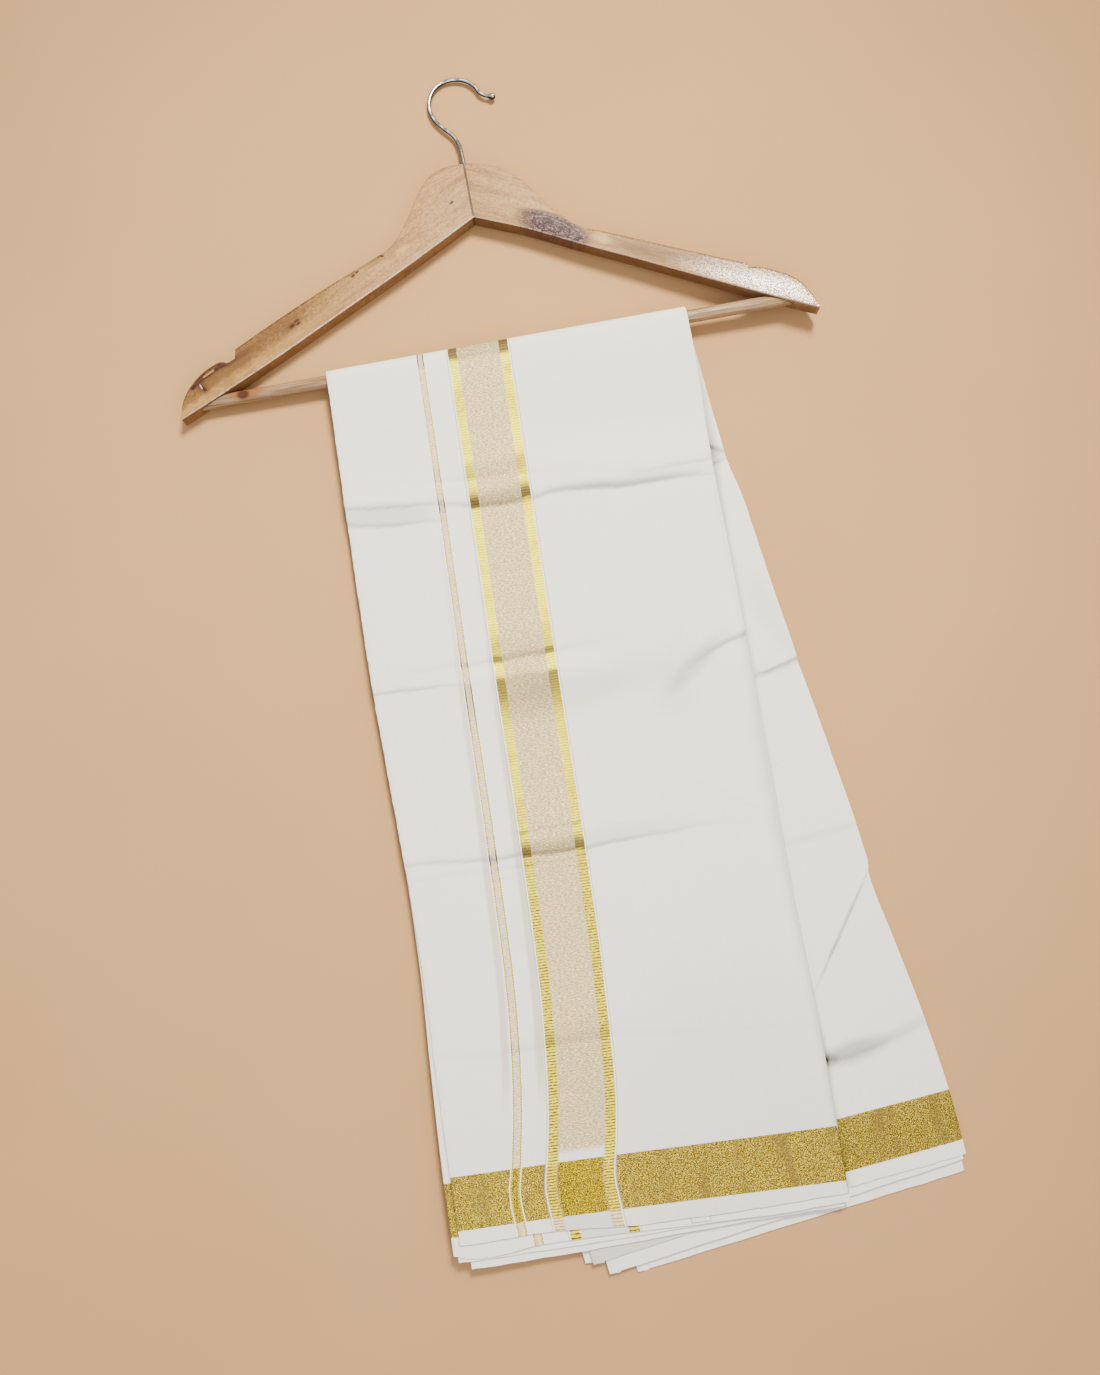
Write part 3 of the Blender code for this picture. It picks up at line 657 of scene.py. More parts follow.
# %% [markdown]
# ## The front's inner leaves
#
# Behind the front leaf hang more leaves of the same folded strip. Only a few
# millimetres of each show, at the hem and along the left edge, but they give the stack
# its layered edge from every side, so each is a sheet of its own.

# %% Inner leaves of the front
# name, outside the front leaf's left edge at the bar and at the hem, the same at its
# right edge, and the layer's place in the stack from its top
FRONT_LEAVES = (
    ("second_leaf", 0.2, 5.0, 0.0, 0.6, 0,
     ((-134.8, 589.6), (-129.5, 592.0), (-65.7, 595.9), (-8.2, 599.2), (19.1, 601.3),
      (36.7, 602.1), (84.3, 604.7), (124.6, 605.1))),
    ("third_leaf", 0.2, 2.4, -0.4, -1.5, 1,
     ((-132.3, 596.8), (-66.4, 600.2), (-2.8, 602.1), (20.7, 602.6), (122.0, 604.5))),
    ("fourth_leaf", -0.6, -5.2, -0.8, -3.2, 2,
     ((-124.8, 602.8), (-67.3, 605.0), (-13.6, 605.6), (64.7, 606.2), (120.6, 607.9))),
)
LEAF_STEP = 3.4           # how much lower the borders of the inner leaves lie
LEAF_DEPTH = 1.15         # how far below the outer leaf's upper side the next one lies
LEAF_GAP = 0.02
SECOND_BAND_SHIFT = 9.0
NO_BAND = 400.0           # far enough from the band for none of it to show


def lowered(line):
    return tuple(place + LEAF_STEP for place in line)


def inner_leaf(entry):
    name, left_bar, left_hem, right_bar, right_hem, layer, hem = entry
    shift = SECOND_BAND_SHIFT if layer == 0 else NO_BAND
    above = FRONT_LEAVES[layer - 1][6] if layer else FRONT_HEM

    def lay(share, out, drop, row):
        down = hanging_down(row, share, lowered(FRONT_BORDER_TOP),
                            lowered(FRONT_BORDER_BOTTOM), hem, FRONT_EDGES)
        fanned = smooth((down - FAN_START) / FAN_RUN)
        across = between_edges(FRONT_EDGES, down, share, out, blend(left_bar, left_hem, fanned),
                               blend(right_bar, right_hem, down / HEM))
        left_edge = along(FRONT_EDGES, down, 1)
        inside = np.clip(across, left_edge, along(FRONT_EDGES, down, 2))
        top = front_top(inside, down) - LEAF_DEPTH
        height = blend(top, front_bottom(inside, down), layer / 3) - drop - LEAF_GAP
        cloth = np.stack((across - along(BAND_LINE, down) - shift, row), axis=1)
        lost = under_edge(np.maximum(down - along(above, across), left_edge - across))
        return in_frame(across, down, height), cloth, painted_shade_and_freshness(lost, fresh=float(layer == 0))

    columns = folded_columns(spaced((0.04, 8), (1.0, 38)))
    return make_sheet(name, columns, leaf_rows(4.0, 159, 11, 25), lay)


front_leaves = [inner_leaf(entry) for entry in FRONT_LEAVES]

# %% [markdown]
# ## The back
#
# The back falls fan out to the right of the front, because the cloth was laid down and
# not hung. The uppermost one shows most: it comes from inside the turn round the bar,
# and its gold border peeps out at the right.

# %% The back leaf
BACK_BORDER_TOP = (566.3, 548.6)
BACK_BORDER_BOTTOM = (602.0, 581.3)
BACK_HEM = ((-47.1, 614.8), (15.8, 607.2), (125.0, 597.4), (207.0, 590.6))
INNER_TURN = math.pi * INNER_TURN_OUTSIDE
# painted shade: the back's gold lies lower, and is drawn darker by this share
BACK_BORDER_SHADE = 0.2    # the back's gold lies lower and looks darker
BORDER_FADE = 2.0         # mm in which that starts and ends
INNER_FOLD = 0.2          # how much of its folded edge is left where the leaf turns


def lay_back(share, out, drop, row):
    turning = row < 0
    down = np.where(turning, 0.0, hanging_down(
        row, share, BACK_BORDER_TOP, BACK_BORDER_BOTTOM, BACK_HEM, BACK_EDGES))
    across = between_edges(BACK_EDGES, down, share, out)
    radius = INNER_TURN_OUTSIDE - CLOTH_THICKNESS + drop * INNER_FOLD
    around, over = round_bar(-1, row / INNER_TURN_OUTSIDE, across, radius)
    height = np.where(turning, over, back_top(across, down) - drop)
    down = np.where(turning, around, down)
    cloth = np.stack((across + NO_BAND, row), axis=1)
    lost = hollow_under(back_relief, across, down, BACK_HOLLOWS)
    beside = across - along(FRONT_EDGES, down, 2)
    lost = lost + along(EDGE_SHADE, down, 2) * (
        1.0 - smooth(beside / along(EDGE_SHADE, down)))
    in_border = (smooth((row - BORDER_TOP) / BORDER_FADE)
                 * smooth((BORDER_BOTTOM + 1.0 - row) / BORDER_FADE))
    lost = lost + BACK_BORDER_SHADE * in_border
    return in_frame(across, down, height), cloth, painted_shade_and_freshness(lost)


back_rows = leaf_rows(0.0, 399, 13, 5, turn=INNER_TURN, turn_cells=12)
back_columns = folded_columns(spaced((0.6, 20), (1.0, 72)))
back_leaf = make_sheet("back_leaf", back_columns, back_rows, lay_back)

# %% The back's inner leaves and the one on the floor
# name, outside the back leaf's left edge at the bar and at the hem, the same at its
# right edge, the height of its upper side, and its hem
BACK_LEAVES = (
    ("back_second_leaf", -0.5, -8.0, -0.4, -2.6, 3.45, ((-38.9, 622.1), (204.3, 594.1))),
    ("back_third_leaf", 0.3, 4.8, -0.8, -4.5, 2.4,
     ((-51.7, 613.6), (-45.0, 614.2), (60.0, 604.0), (202.0, 591.5))),
    ("floor_leaf", -1.0, -25.0, -0.6, -3.4, 1.0, ((-22.2, 623.4), (203.5, 602.1))),
)
BACK_LEAF_DEPTH = 1.1
BELOW_BAR = 5.0           # the inner leaves start at least this far below the bar's middle


def lower_leaf(entry):
    name, left_bar, left_hem, right_bar, right_hem, level, hem = entry
    on_floor = name == "floor_leaf"

    def lay(share, out, drop, row):
        down = hanging_down(row, share, lowered(BACK_BORDER_TOP),
                            lowered(BACK_BORDER_BOTTOM), hem, BACK_EDGES)
        across = between_edges(
            BACK_EDGES, down, share, out, blend(left_bar, left_hem, down / HEM),
            blend(right_bar, right_hem, down / HEM))
        near_bar = 1.0 - smooth(down / BACK_SETTLE)
        start = np.minimum(back_top(across, down) - BACK_LEAF_DEPTH,
                           bar_height(across) - BELOW_BAR)
        if on_floor:
            start = bar_height(across) - TURN_OUTSIDE + CLOTH_THICKNESS
        height = blend(level, start, near_bar) - drop
        cloth = np.stack((across + NO_BAND, row), axis=1)
        return in_frame(across, down, height), cloth, painted_shade_and_freshness(np.zeros_like(row))

    rows = leaf_rows(0.0 if on_floor else 24.0, 119, 9, 4)
    return make_sheet(name, folded_columns(spaced((1.0, 40))), rows, lay)


lower_leaves = [lower_leaf(entry) for entry in BACK_LEAVES]

# %% [markdown]
# ## The wooden hanger
#
# Each arm of a hanger is sawn from a board, run over with a router that rounds its
# edges, sanded and varnished; the two are glued at the head. Here a small board end is
# given its rounded corners first and is then pulled out, station by station, from the
# seam to the tip, while its upper and lower sides follow the arm's outline. Rounding
# first and pulling second keeps the same round edge all the way, even at the notch that
# is cut for shoulder straps. Each corner also notes how far below the upper outline it
# lies, because a painted shade runs along that rim.

# %% Outline of the arms
# across, up from the bar
LEFT_ARM_TOP = (
    (0.0, 139.4), (-2.2, 139.6), (-12.4, 139.5), (-23.4, 135.9), (-32.8, 127.9),
    (-40.6, 116.0), (-48.5, 102.8), (-55.7, 93.3), (-65.0, 85.4), (-74.9, 81.0),
    (-108.8, 67.0), (-147.8, 49.3), (-180.7, 33.3),
)
LEFT_NOTCH = (
    (-181.7, 26.8), (-184.5, 25.6), (-188.0, 24.4), (-190.0, 25.4), (-192.2, 26.0),
    (-197.0, 24.6), (-203.0, 21.9), (-212.4, 15.0), (-219.0, 7.4), (-223.0, -0.6),
    (-224.6, -6.5),
)
LEFT_ARM_BOTTOM = (
    (0.0, 98.3), (-54.0, 70.0), (-103.2, 45.8), (-152.0, 21.9), (-188.2, 5.2),
    (-225.0, -11.0),
)
RIGHT_ARM_TOP = (
    (0.0, 139.2), (2.2, 139.3), (13.4, 136.5), (23.6, 132.1), (33.3, 124.3),
    (40.9, 115.9), (48.1, 104.8), (55.3, 94.6), (62.8, 85.5), (72.2, 77.8),
    (87.4, 71.1), (120.9, 55.9), (154.3, 40.9), (181.6, 28.8),
)
RIGHT_NOTCH = (
    (182.2, 25.7), (187.0, 25.2), (194.2, 22.7), (202.4, 18.8), (210.4, 13.8),
    (217.1, 6.9), (222.3, -2.5), (225.2, -9.5),
)
RIGHT_ARM_BOTTOM = (
    (0.0, 98.3), (35.0, 83.0), (73.2, 63.1), (101.5, 49.0), (134.5, 32.1),
    (167.3, 15.4), (192.0, 3.1), (225.6, -13.2),
)
ARM_THICKNESS = 13.0
EDGE_ROUND = 1.0
SEAM_GAP = 0.1
SHOULDER = 80.0           # from here on the outline is nearly straight
SAME_PLACE = 1e-6
HANGER = (Matrix.Translation(BAR * MM)
          @ Euler((-PITCH, -ROLL, 0.0)).to_matrix().to_4x4())
print("left arm ends", -LEFT_ARM_BOTTOM[-1][0], "mm out, right", RIGHT_ARM_BOTTOM[-1][0])


# %% Helpers for edit mode
def settle(piece):
    """Move a piece of the hanger into the frame, with its origin at the frame's."""
    select_only(piece)
    piece.matrix_world = HANGER
    bpy.ops.object.transform_apply(location=True, rotation=True, scale=True)


def pick(mesh, wanted):
    """In edit mode, select the corners for which the test holds."""
    editing = bmesh.from_edit_mesh(mesh)
    editing.select_mode = {"VERT"}
    for corner in editing.verts:
        corner.select = bool(wanted(corner.co))
    editing.select_flush(True)
    bmesh.update_edit_mesh(mesh)


def outline_at(table, notch, distance, side):
    """Height of the upper outline: along the arm, then along the notch and the tip."""
    before = [(side * across, up) for across, up in table]
    if not notch or distance <= before[-1][0]:
        return float(along(before, distance))
    return float(along([(side * across, up) for across, up in notch], distance))


# %% Pull an arm out of its board end
def make_arm(name, top, notch, bottom, side):
    edge, past_edge, end = abs(top[-1][0]), abs(notch[0][0]), abs(notch[-1][0])
    stations = [*np.linspace(SEAM_GAP / 2, SHOULDER, 30), *np.linspace(SHOULDER, edge, 22)[1:],
                *np.linspace(past_edge, end, 28)]
    high = outline_at(top, notch, stations[0], side)
    low = outline_at(bottom, None, stations[0], side)
    deselect()
    bpy.ops.mesh.primitive_plane_add(size=1.0, rotation=(0.0, math.radians(90.0), 0.0))
    arm = bpy.context.object
    arm.name = name
    arm.scale = (ARM_THICKNESS * MM, (high - low) * MM, 1.0)
    arm.location = (side * stations[0] * MM, (high + low) / 2 * MM, 0.0)
    bpy.ops.object.transform_apply(location=True, rotation=True, scale=True)
    bpy.ops.object.mode_set(mode="EDIT")
    bpy.ops.mesh.select_all(action="SELECT")
    bpy.ops.mesh.bevel(offset=EDGE_ROUND * MM, segments=4, affect="VERTICES")
    for previous, station in zip(stations, stations[1:]):
        new_high = outline_at(top, notch, station, side)
        new_low = outline_at(bottom, None, station, side)
        step = (station - previous) * side * MM
        bpy.ops.mesh.extrude_region_move(TRANSFORM_OT_translate={"value": (step, 0.0, 0.0)})
        middle = (high + low) / 2 * MM
        here = station * side * MM
        pick(arm.data, lambda co: abs(co.x - here) < SAME_PLACE and co.y > middle)
        bpy.ops.transform.translate(value=(0.0, (new_high - high) * MM, 0.0))
        pick(arm.data, lambda co: abs(co.x - here) < SAME_PLACE and co.y <= middle)
        bpy.ops.transform.translate(value=(0.0, (new_low - low) * MM, 0.0))
        pick(arm.data, lambda co: abs(co.x - here) < SAME_PLACE)
        high, low = new_high, new_low
    bpy.ops.mesh.select_all(action="SELECT")
    bpy.ops.mesh.normals_make_consistent(inside=False)
    bpy.ops.object.mode_set(mode="OBJECT")
    below_rim = arm.data.attributes.new("below_rim", "FLOAT", "POINT")
    for corner, note in zip(arm.data.vertices, below_rim.data):
        high = outline_at(top, notch, abs(corner.co.x) / MM, side)
        note.value = high - corner.co.y / MM
    print(name, len(arm.data.polygons), "faces")
    return arm


left_arm = make_arm("left_arm", LEFT_ARM_TOP, LEFT_NOTCH, LEFT_ARM_BOTTOM, -1)
right_arm = make_arm("right_arm", RIGHT_ARM_TOP, RIGHT_NOTCH, RIGHT_ARM_BOTTOM, 1)

# %% [markdown]
# ## Bar, bores and hook
#
# The bar that carries the cloth is a turned dowel. Its ends sit in holes bored into the
# arms near their tips, so it holds the arms apart. The hook is bright wire, screwed in
# where the arms meet; its open end is pressed into a small ball, so that it never
# snags cloth.

# %% Bore the arms for the bar and the hook
BORE_CLEARANCE = 0.25
WIRE_DIAMETER = 2.8
HOOK_HOLE_MIDDLE = 130.0
HOOK_HOLE_LENGTH = 50.0
BAR_CHAMFER = 0.8


def add_rod(name, radius, length, centre, turn, sides=48):
    deselect()
    bpy.ops.mesh.primitive_cylinder_add(
        vertices=sides, radius=radius * MM, depth=length * MM,
        location=Vector(centre) * MM, rotation=turn)
    piece = bpy.context.object
    piece.name = name
    bpy.ops.object.transform_apply(location=True, rotation=True, scale=True)
    return piece


def cut_away(piece, cutter):
    cut = piece.modifiers.new("bore", "BOOLEAN")
    cut.operation = "DIFFERENCE"
    cut.solver = "EXACT"
    cut.object = cutter
    select_only(piece)
    bpy.ops.object.modifier_apply(modifier=cut.name)
    bpy.data.objects.remove(cutter)


ALONG_BAR = (0.0, math.radians(90.0), 0.0)
ALONG_HEAD = (math.radians(90.0), 0.0, 0.0)
bar_middle = ((BAR_ENDS[0] + BAR_ENDS[1]) / 2, 0.0, 0.0)
bar_run = BAR_ENDS[1] - BAR_ENDS[0]
for arm in (left_arm, right_arm):
    cut_away(arm, add_rod("socket", BAR_DIAMETER / 2 + BORE_CLEARANCE,
                          bar_run + 2 * BORE_CLEARANCE, bar_middle, ALONG_BAR))
    cut_away(arm, add_rod("hook_hole", WIRE_DIAMETER / 2 + BORE_CLEARANCE, HOOK_HOLE_LENGTH,
                          (0.0, HOOK_HOLE_MIDDLE, 0.0), ALONG_HEAD, 24))
    bpy.ops.object.shade_smooth_by_angle(angle=math.radians(35.0))
    settle(arm)
print("arms bored for the bar and the hook")

# %% The bar
trouser_bar = add_rod("trouser_bar", BAR_DIAMETER / 2, bar_run, bar_middle, ALONG_BAR, 64)
bpy.ops.object.mode_set(mode="EDIT")
bpy.ops.mesh.select_all(action="DESELECT")
pick(trouser_bar.data, lambda co: abs(co.x - bar_middle[0] * MM) > (bar_run / 2 - 0.1) * MM)
bpy.ops.mesh.bevel(offset=BAR_CHAMFER * MM, segments=2, affect="EDGES")
bpy.ops.object.mode_set(mode="OBJECT")
bpy.ops.object.shade_smooth_by_angle(angle=math.radians(40.0))
settle(trouser_bar)
print("bar", round(trouser_bar.dimensions.x / MM, 1), "mm long")

# %% The hook
# across, up from the bar, thickness against the wire's
HOOK_ROUTE = (
    (0.0, 108.0, 1.0), (0.0, 124.0, 1.0), (0.0, 136.0, 1.0), (-0.1, 148.0, 1.0),
    (-0.7, 157.5, 1.0), (-3.6, 166.3, 1.0), (-9.2, 173.2, 1.0), (-14.6, 180.4, 1.0),
    (-17.2, 188.8, 1.0), (-16.0, 197.8, 1.0), (-11.3, 205.0, 1.0), (-3.8, 209.2, 1.0),
    (4.4, 209.7, 1.0), (11.8, 207.3, 1.0), (17.6, 201.9, 1.0), (21.6, 195.2, 1.0),
    (24.4, 193.2, 0.85), (25.8, 192.7, 0.9), (27.2, 192.3, 1.35), (29.0, 192.0, 1.7),
    (30.2, 191.8, 1.5), (31.0, 191.7, 0.9), (31.3, 191.7, 0.3),
)
HOOK_SAG = 2.9            # the loose hook tips back until it nearly touches the floor
HOOK_SAG_START = 138.0
HOOK_SAG_RUN = 32.0
BALL_POINTS = 7           # the last points of the route, which form the ball
THINNEST = 0.2


def make_hook():
    bend = bpy.data.curves.new("hook", "CURVE")
    bend.dimensions = "3D"
    bend.bevel_depth = WIRE_DIAMETER / 2 * MM
    bend.bevel_resolution = 6
    bend.use_fill_caps = True
    route = np.array(HOOK_ROUTE, float)
    step = np.hypot(*np.diff(route[:, :2], axis=0).T)
    gone = np.concatenate(([0.0], np.cumsum(step)))
    table = np.column_stack((gone, route))
    ball_start = gone[-BALL_POINTS]
    fine = np.concatenate((np.linspace(0.0, ball_start, 90),
                           np.linspace(ball_start, gone[-1], 30)[1:]))
    line = bend.splines.new("POLY")
    line.points.add(len(fine) - 1)
    for point, place in zip(line.points, fine):
        up = float(along(table, place, 2))
        sag = HOOK_SAG * smooth((up - HOOK_SAG_START) / HOOK_SAG_RUN)
        point.co = (along(table, place) * MM, up * MM, -sag * MM, 1.0)
        point.radius = max(float(along(table, place, 3)), THINNEST)
    hook = put_in_scene("hook", bend)
    select_only(hook)
    bpy.ops.object.convert(target="MESH")
    bpy.ops.object.shade_smooth_by_angle(angle=math.radians(50.0))
    settle(hook)
    return hook


hook = make_hook()
print("hook", len(hook.data.polygons), "faces")

# %% [markdown]
# ## Floor, light and camera
#
# The cloth is lit softly from above its hook end, a little from the right, so shadows are
# short and fall towards the hem. A second, wide light on the hem side fills them. The
# gleam along the lower edges of the varnished arms is a painted highlight. The camera
# looks down from a little on the hem side, and is turned so that the hanger lies at a slant.

# %% Camera
LENS = 35.0
CAMERA_TILT = math.radians(7.0)
CAMERA_TURN = math.radians(10.35)
CAMERA_ACROSS = -27.1
CAMERA_UP = -348.6
CAMERA_HEIGHT = 910.2


def add_camera():
    sight = bpy.data.cameras.new("camera")
    sight.lens = LENS
    sight.sensor_fit = "VERTICAL"
    sight.sensor_height = 36.0
    camera = put_in_scene("camera", sight)
    turn_cos, turn_sin = math.cos(CAMERA_TURN), math.sin(CAMERA_TURN)
    tilt_cos, tilt_sin = math.cos(CAMERA_TILT), math.sin(CAMERA_TILT)
    right = Vector((turn_cos, -turn_sin, 0.0))
    ahead = Vector((tilt_sin * turn_sin, tilt_sin * turn_cos, -tilt_cos))
    up = right.cross(ahead)
    turned = Matrix((right, up, -ahead)).transposed().to_4x4()
    place = Vector((BAR.x + CAMERA_ACROSS, BAR.y + CAMERA_UP, CAMERA_HEIGHT)) * MM
    camera.matrix_world = Matrix.Translation(place) @ turned
    bpy.context.scene.camera = camera
    return camera


camera = add_camera()
print("camera at", [round(value / MM, 1) for value in camera.location])


# %% Floor and lights
def add_floor():
    deselect()
    bpy.ops.mesh.primitive_plane_add(size=6.0, location=(0.0, 0.0, -0.0003))
    floor = bpy.context.object
    floor.name = "floor"
    return floor


def add_light(name, kind, place, aim, power, colour):
    """A lamp of a kind, turned so that it faces a point."""
    lamp = bpy.data.lights.new(name, kind)
    lamp.energy = power
    lamp.color = colour
    light = put_in_scene(name, lamp)
    light.location = place
    light.rotation_euler = (Vector(aim) - Vector(place)).to_track_quat("-Z", "Y").to_euler()
    return lamp


# places in metres, powers in watts
KEY_PLACE = (0.60, 1.30, 2.00)
KEY_AIM = (-0.05, 0.08, 0.0)
KEY_POWER = 575.0
KEY_COLOUR = (1.0, 0.965, 0.80)
KEY_RADIUS = 0.33
FILL_PLACE = (0.35, -1.5, 1.7)
FILL_POWER = 22.0
FILL_COLOUR = (1.0, 0.97, 0.92)
ROOM_COLOUR = (0.98, 0.985, 1.16, 1.0)
floor = add_floor()
key = add_light("key", "SPOT", KEY_PLACE, KEY_AIM, KEY_POWER, KEY_COLOUR)
key.spot_size = math.radians(41.0)
key.spot_blend = 1.0
key.shadow_soft_size = KEY_RADIUS
fill = add_light("fill", "AREA", FILL_PLACE, (0.0, 0.0, 0.0), FILL_POWER, FILL_COLOUR)
fill.size = 1.6
world = bpy.data.worlds.new("studio")
bpy.context.scene.world = world
world.use_nodes = True
room = world.node_tree
direction = room.nodes.new("ShaderNodeTexCoord")
parts = room.nodes.new("ShaderNodeSeparateXYZ")
height = room.nodes.new("ShaderNodeMapRange")
room.links.new(direction.outputs["Generated"], parts.inputs[0])
room.links.new(parts.outputs[2], height.inputs[0])
room.links.new(height.outputs[0], room.nodes["Background"].inputs["Strength"])
height.inputs[3].default_value = 0.25       # strength at the horizon
height.inputs[4].default_value = 1.10       # strength overhead
room.nodes["Background"].inputs["Color"].default_value = ROOM_COLOUR
print("key light", KEY_POWER, "W, fill", FILL_POWER, "W")

# %% [markdown]
# ## Small tools for materials
#
# A woven pattern could be painted as a picture, but a picture has a fixed number of
# dots. Here every line is worked out by nodes from the place on the loom, so it stays
# crisp at any distance and follows the cloth round its folds. What a node gives is kept
# as a Signal, so that the sums behind a pattern read as plain sums.

# %% Node tools
class Signal:
    """What a node gives at each point, with the arithmetic of maths nodes."""

    def __init__(self, socket):
        self.socket = socket

    def __add__(self, other):
        return calc("ADD", self, other)

    def __sub__(self, other):
        return calc("SUBTRACT", self, other)

    def __rsub__(self, other):
        return calc("SUBTRACT", other, self)

    def __mul__(self, other):
        return calc("MULTIPLY", self, other)

    def __truediv__(self, other):
        return calc("DIVIDE", self, other)

    def __abs__(self):
        return calc("ABSOLUTE", self)


def start_material(name):
    material = bpy.data.materials.new(name)
    material.use_nodes = True
    return material


def source(material, kind, output=0, **settings):
    """A node without inputs: it tells where a point is, how it faces or what it keeps."""
    made = material.node_tree.nodes.new(kind)
    for name, value in settings.items():
        setattr(made, name, value)
    return Signal(made.outputs[output])


def add_node(kind, inputs, output=0, **settings):
    """Add a node, make its settings, and set or link its inputs. A tuple is a colour."""
    tree = next(value.socket.id_data for value in inputs.values()
                if isinstance(value, Signal))
    made = tree.nodes.new(kind)
    for name, value in settings.items():
        setattr(made, name, value)
    for name, value in inputs.items():
        if isinstance(value, Signal):
            tree.links.new(value.socket, made.inputs[name])
        else:
            colour = isinstance(value, tuple)
            made.inputs[name].default_value = (*value, 1.0) if colour else value
    return Signal(made.outputs[output])


def calc(operation, *values):
    return add_node("ShaderNodeMath", dict(enumerate(values)), operation=operation)


def split(point):
    """The three numbers of a point."""
    made = add_node("ShaderNodeSeparateXYZ", {0: point}).socket.node
    return [Signal(socket) for socket in made.outputs]


# %% Mixing colours
def mix(share, first, second, how="MIX"):
    return add_node("ShaderNodeMix", {0: share, 6: first, 7: second}, 2,
                    data_type="RGBA", blend_type=how)


def tinted(colour, light):
    return mix(1.0, colour, light, "MULTIPLY")


def laid_over(colour, *layers):
    """Colours laid over a ground one after another, each through its own mask."""
    for mask, layer in layers:
        colour = mix(mask, colour, layer)
    return colour


# %% Ramps, strips and noise
def ramp(value, low, high, from_value=0.0, to_value=1.0):
    """Ease from one value to another while the input goes from low to high."""
    return add_node(
        "ShaderNodeMapRange", {0: value, 1: low, 2: high, 3: from_value, 4: to_value},
        interpolation_type="SMOOTHSTEP")


def fade(value, low, high, share=1.0):
    return ramp(value, low, high, share, 0.0)


def strip(place, low, high, soft):
    """1 between two lines and 0 outside them, with soft sides."""
    return ramp(place, low - soft, low + soft) * fade(place, high - soft, high + soft)


def either(*masks):
    joined = masks[0]
    for mask in masks[1:]:
        joined = calc("MAXIMUM", joined, mask)
    return joined


def noise(point, scale=1.0, detail=2.0, roughness=0.5, distortion=0.0):
    return add_node("ShaderNodeTexNoise", {
        "Vector": point, "Scale": scale, "Detail": detail, "Roughness": roughness,
        "Distortion": distortion})


def streaks(place, first_scale, second_scale, layer=0.0, **settings):
    """Noise with a scale of its own along each of two directions."""
    first, second = place
    point = add_node("ShaderNodeCombineXYZ",
                     {0: first * first_scale, 1: second * second_scale, 2: layer})
    return noise(point, **settings)


# %% Relief and the shader
def bump(height, strength, distance):
    """Relief as deep as a distance in mm."""
    return add_node("ShaderNodeBump", {
        "Height": height, "Strength": strength, "Distance": distance * MM})


def set_shader(material, **values):
    """Set or link the sockets of the material's own shader."""
    tree = material.node_tree
    for name, value in values.items():
        socket = tree.nodes["Principled BSDF"].inputs[name.replace("_", " ")]
        if isinstance(value, Signal):
            tree.links.new(value.socket, socket)
        else:
            socket.default_value = value


# %% [markdown]
# ## Cotton with gold woven in
#
# The ground is plain-woven cotton, very slightly uneven, because no two threads are
# alike. Gold thread is a metal strip wound round a core, so it glitters in short broken
# flecks. In the border it is woven dense; in the stripes it runs straight across and
# makes ribs; in the tissue between them it is mixed half and half with cotton.

# %% Where the band lies on the loom
# along the weave from the band's left line, in mm: where each strip begins and ends
LEFT_STRIPE = (-0.1, 6.3)
RIGHT_STRIPE = (35.7, 42.3)
PAIR_MIDDLE = -19.7       # middle of the narrow band between two gold lines
PAIR_LINE = (1.9, 2.9)    # where its gold lines begin and end, from that middle
PIPING = 0.7
NEAR_HEM = (430.0, 540.0)  # down the weave, the band was pulled wider from here to here
NEAR_HEM_SHIFT = -0.7
NEAR_HEM_SCALE = 0.945


def woven_place(material):
    """Where a point is on the loom, in mm: across the threads, down, and down the border."""
    loom = source(material, "ShaderNodeUVMap", uv_map="UVMap")
    plain_u, weave_v = plain = [part * 1000.0 for part in split(loom)[:2]]
    # threads wander a little, so every woven line does too
    wander = (streaks(plain, 0.02, 0.35, detail=1.0) - 0.5) * 0.7
    v_wander = (streaks(plain, 0.5, 0.02, detail=1.0) - 0.5) * 0.5
    pulled = ramp(weave_v, *NEAR_HEM, 0.0, NEAR_HEM_SHIFT) + plain_u
    pulled = pulled * ramp(weave_v, *NEAR_HEM, 1.0, NEAR_HEM_SCALE)
    return pulled + wander, weave_v, weave_v + v_wander


print("band", round(RIGHT_STRIPE[1] - LEFT_STRIPE[0], 1), "mm wide")


# %% The cotton ground
COTTON_COLOUR = (0.87, 0.85, 0.74)
# down the weave, the ghost of the band comes and goes between these places
GHOST_START = (60.0, 320.0)
GHOST_END = (480.0, 525.0)
GHOST_DRIFT = 0.012             # how far left the layer below drifts for each mm down
GHOST_COLOUR = (0.62, 0.50, 0.40)


def cotton_ground(loom, kept_light):
    """Slubbed cotton, through which the band of the layer below shines faintly."""
    weave_u, weave_v = loom
    slubs = streaks(loom, 2.2, 0.06) + streaks(loom, 0.05, 2.4, 7.0)
    cotton = tinted(COTTON_COLOUR, ramp(slubs, 0.7, 1.3, 0.965, 1.02) * kept_light)
    ghost_u = weave_u + weave_v * GHOST_DRIFT
    ghost = either(strip(ghost_u, LEFT_STRIPE[0] - 1.0, LEFT_STRIPE[1] - 2.0, 1.2),
                   strip(ghost_u, PAIR_MIDDLE - 3.6, PAIR_MIDDLE + 1.2, 1.2))
    ghost = ghost * ramp(weave_v, *GHOST_START, 0.0, 0.75) * fade(weave_v, *GHOST_END)
    return mix(ghost, cotton, GHOST_COLOUR)


print("layer below shows from", GHOST_START[0], "to", GHOST_END[1], "mm down")


# %% Gold in flecks, for the border
GOLD_DARK = (0.085, 0.044, 0.002)
GOLD_COLOUR = (0.315, 0.218, 0.007)
GOLD_BRIGHT = (0.88, 0.66, 0.085)
GOLD_PATCH = (0.20, 0.13, 0.03)
RICH_DARK = (0.06, 0.036, 0.0)
RICH_COLOUR = (0.36, 0.248, 0.002)
RICH_BRIGHT = (0.88, 0.62, 0.008)
FLECKS_PER_MM = (1.7, 1.9)


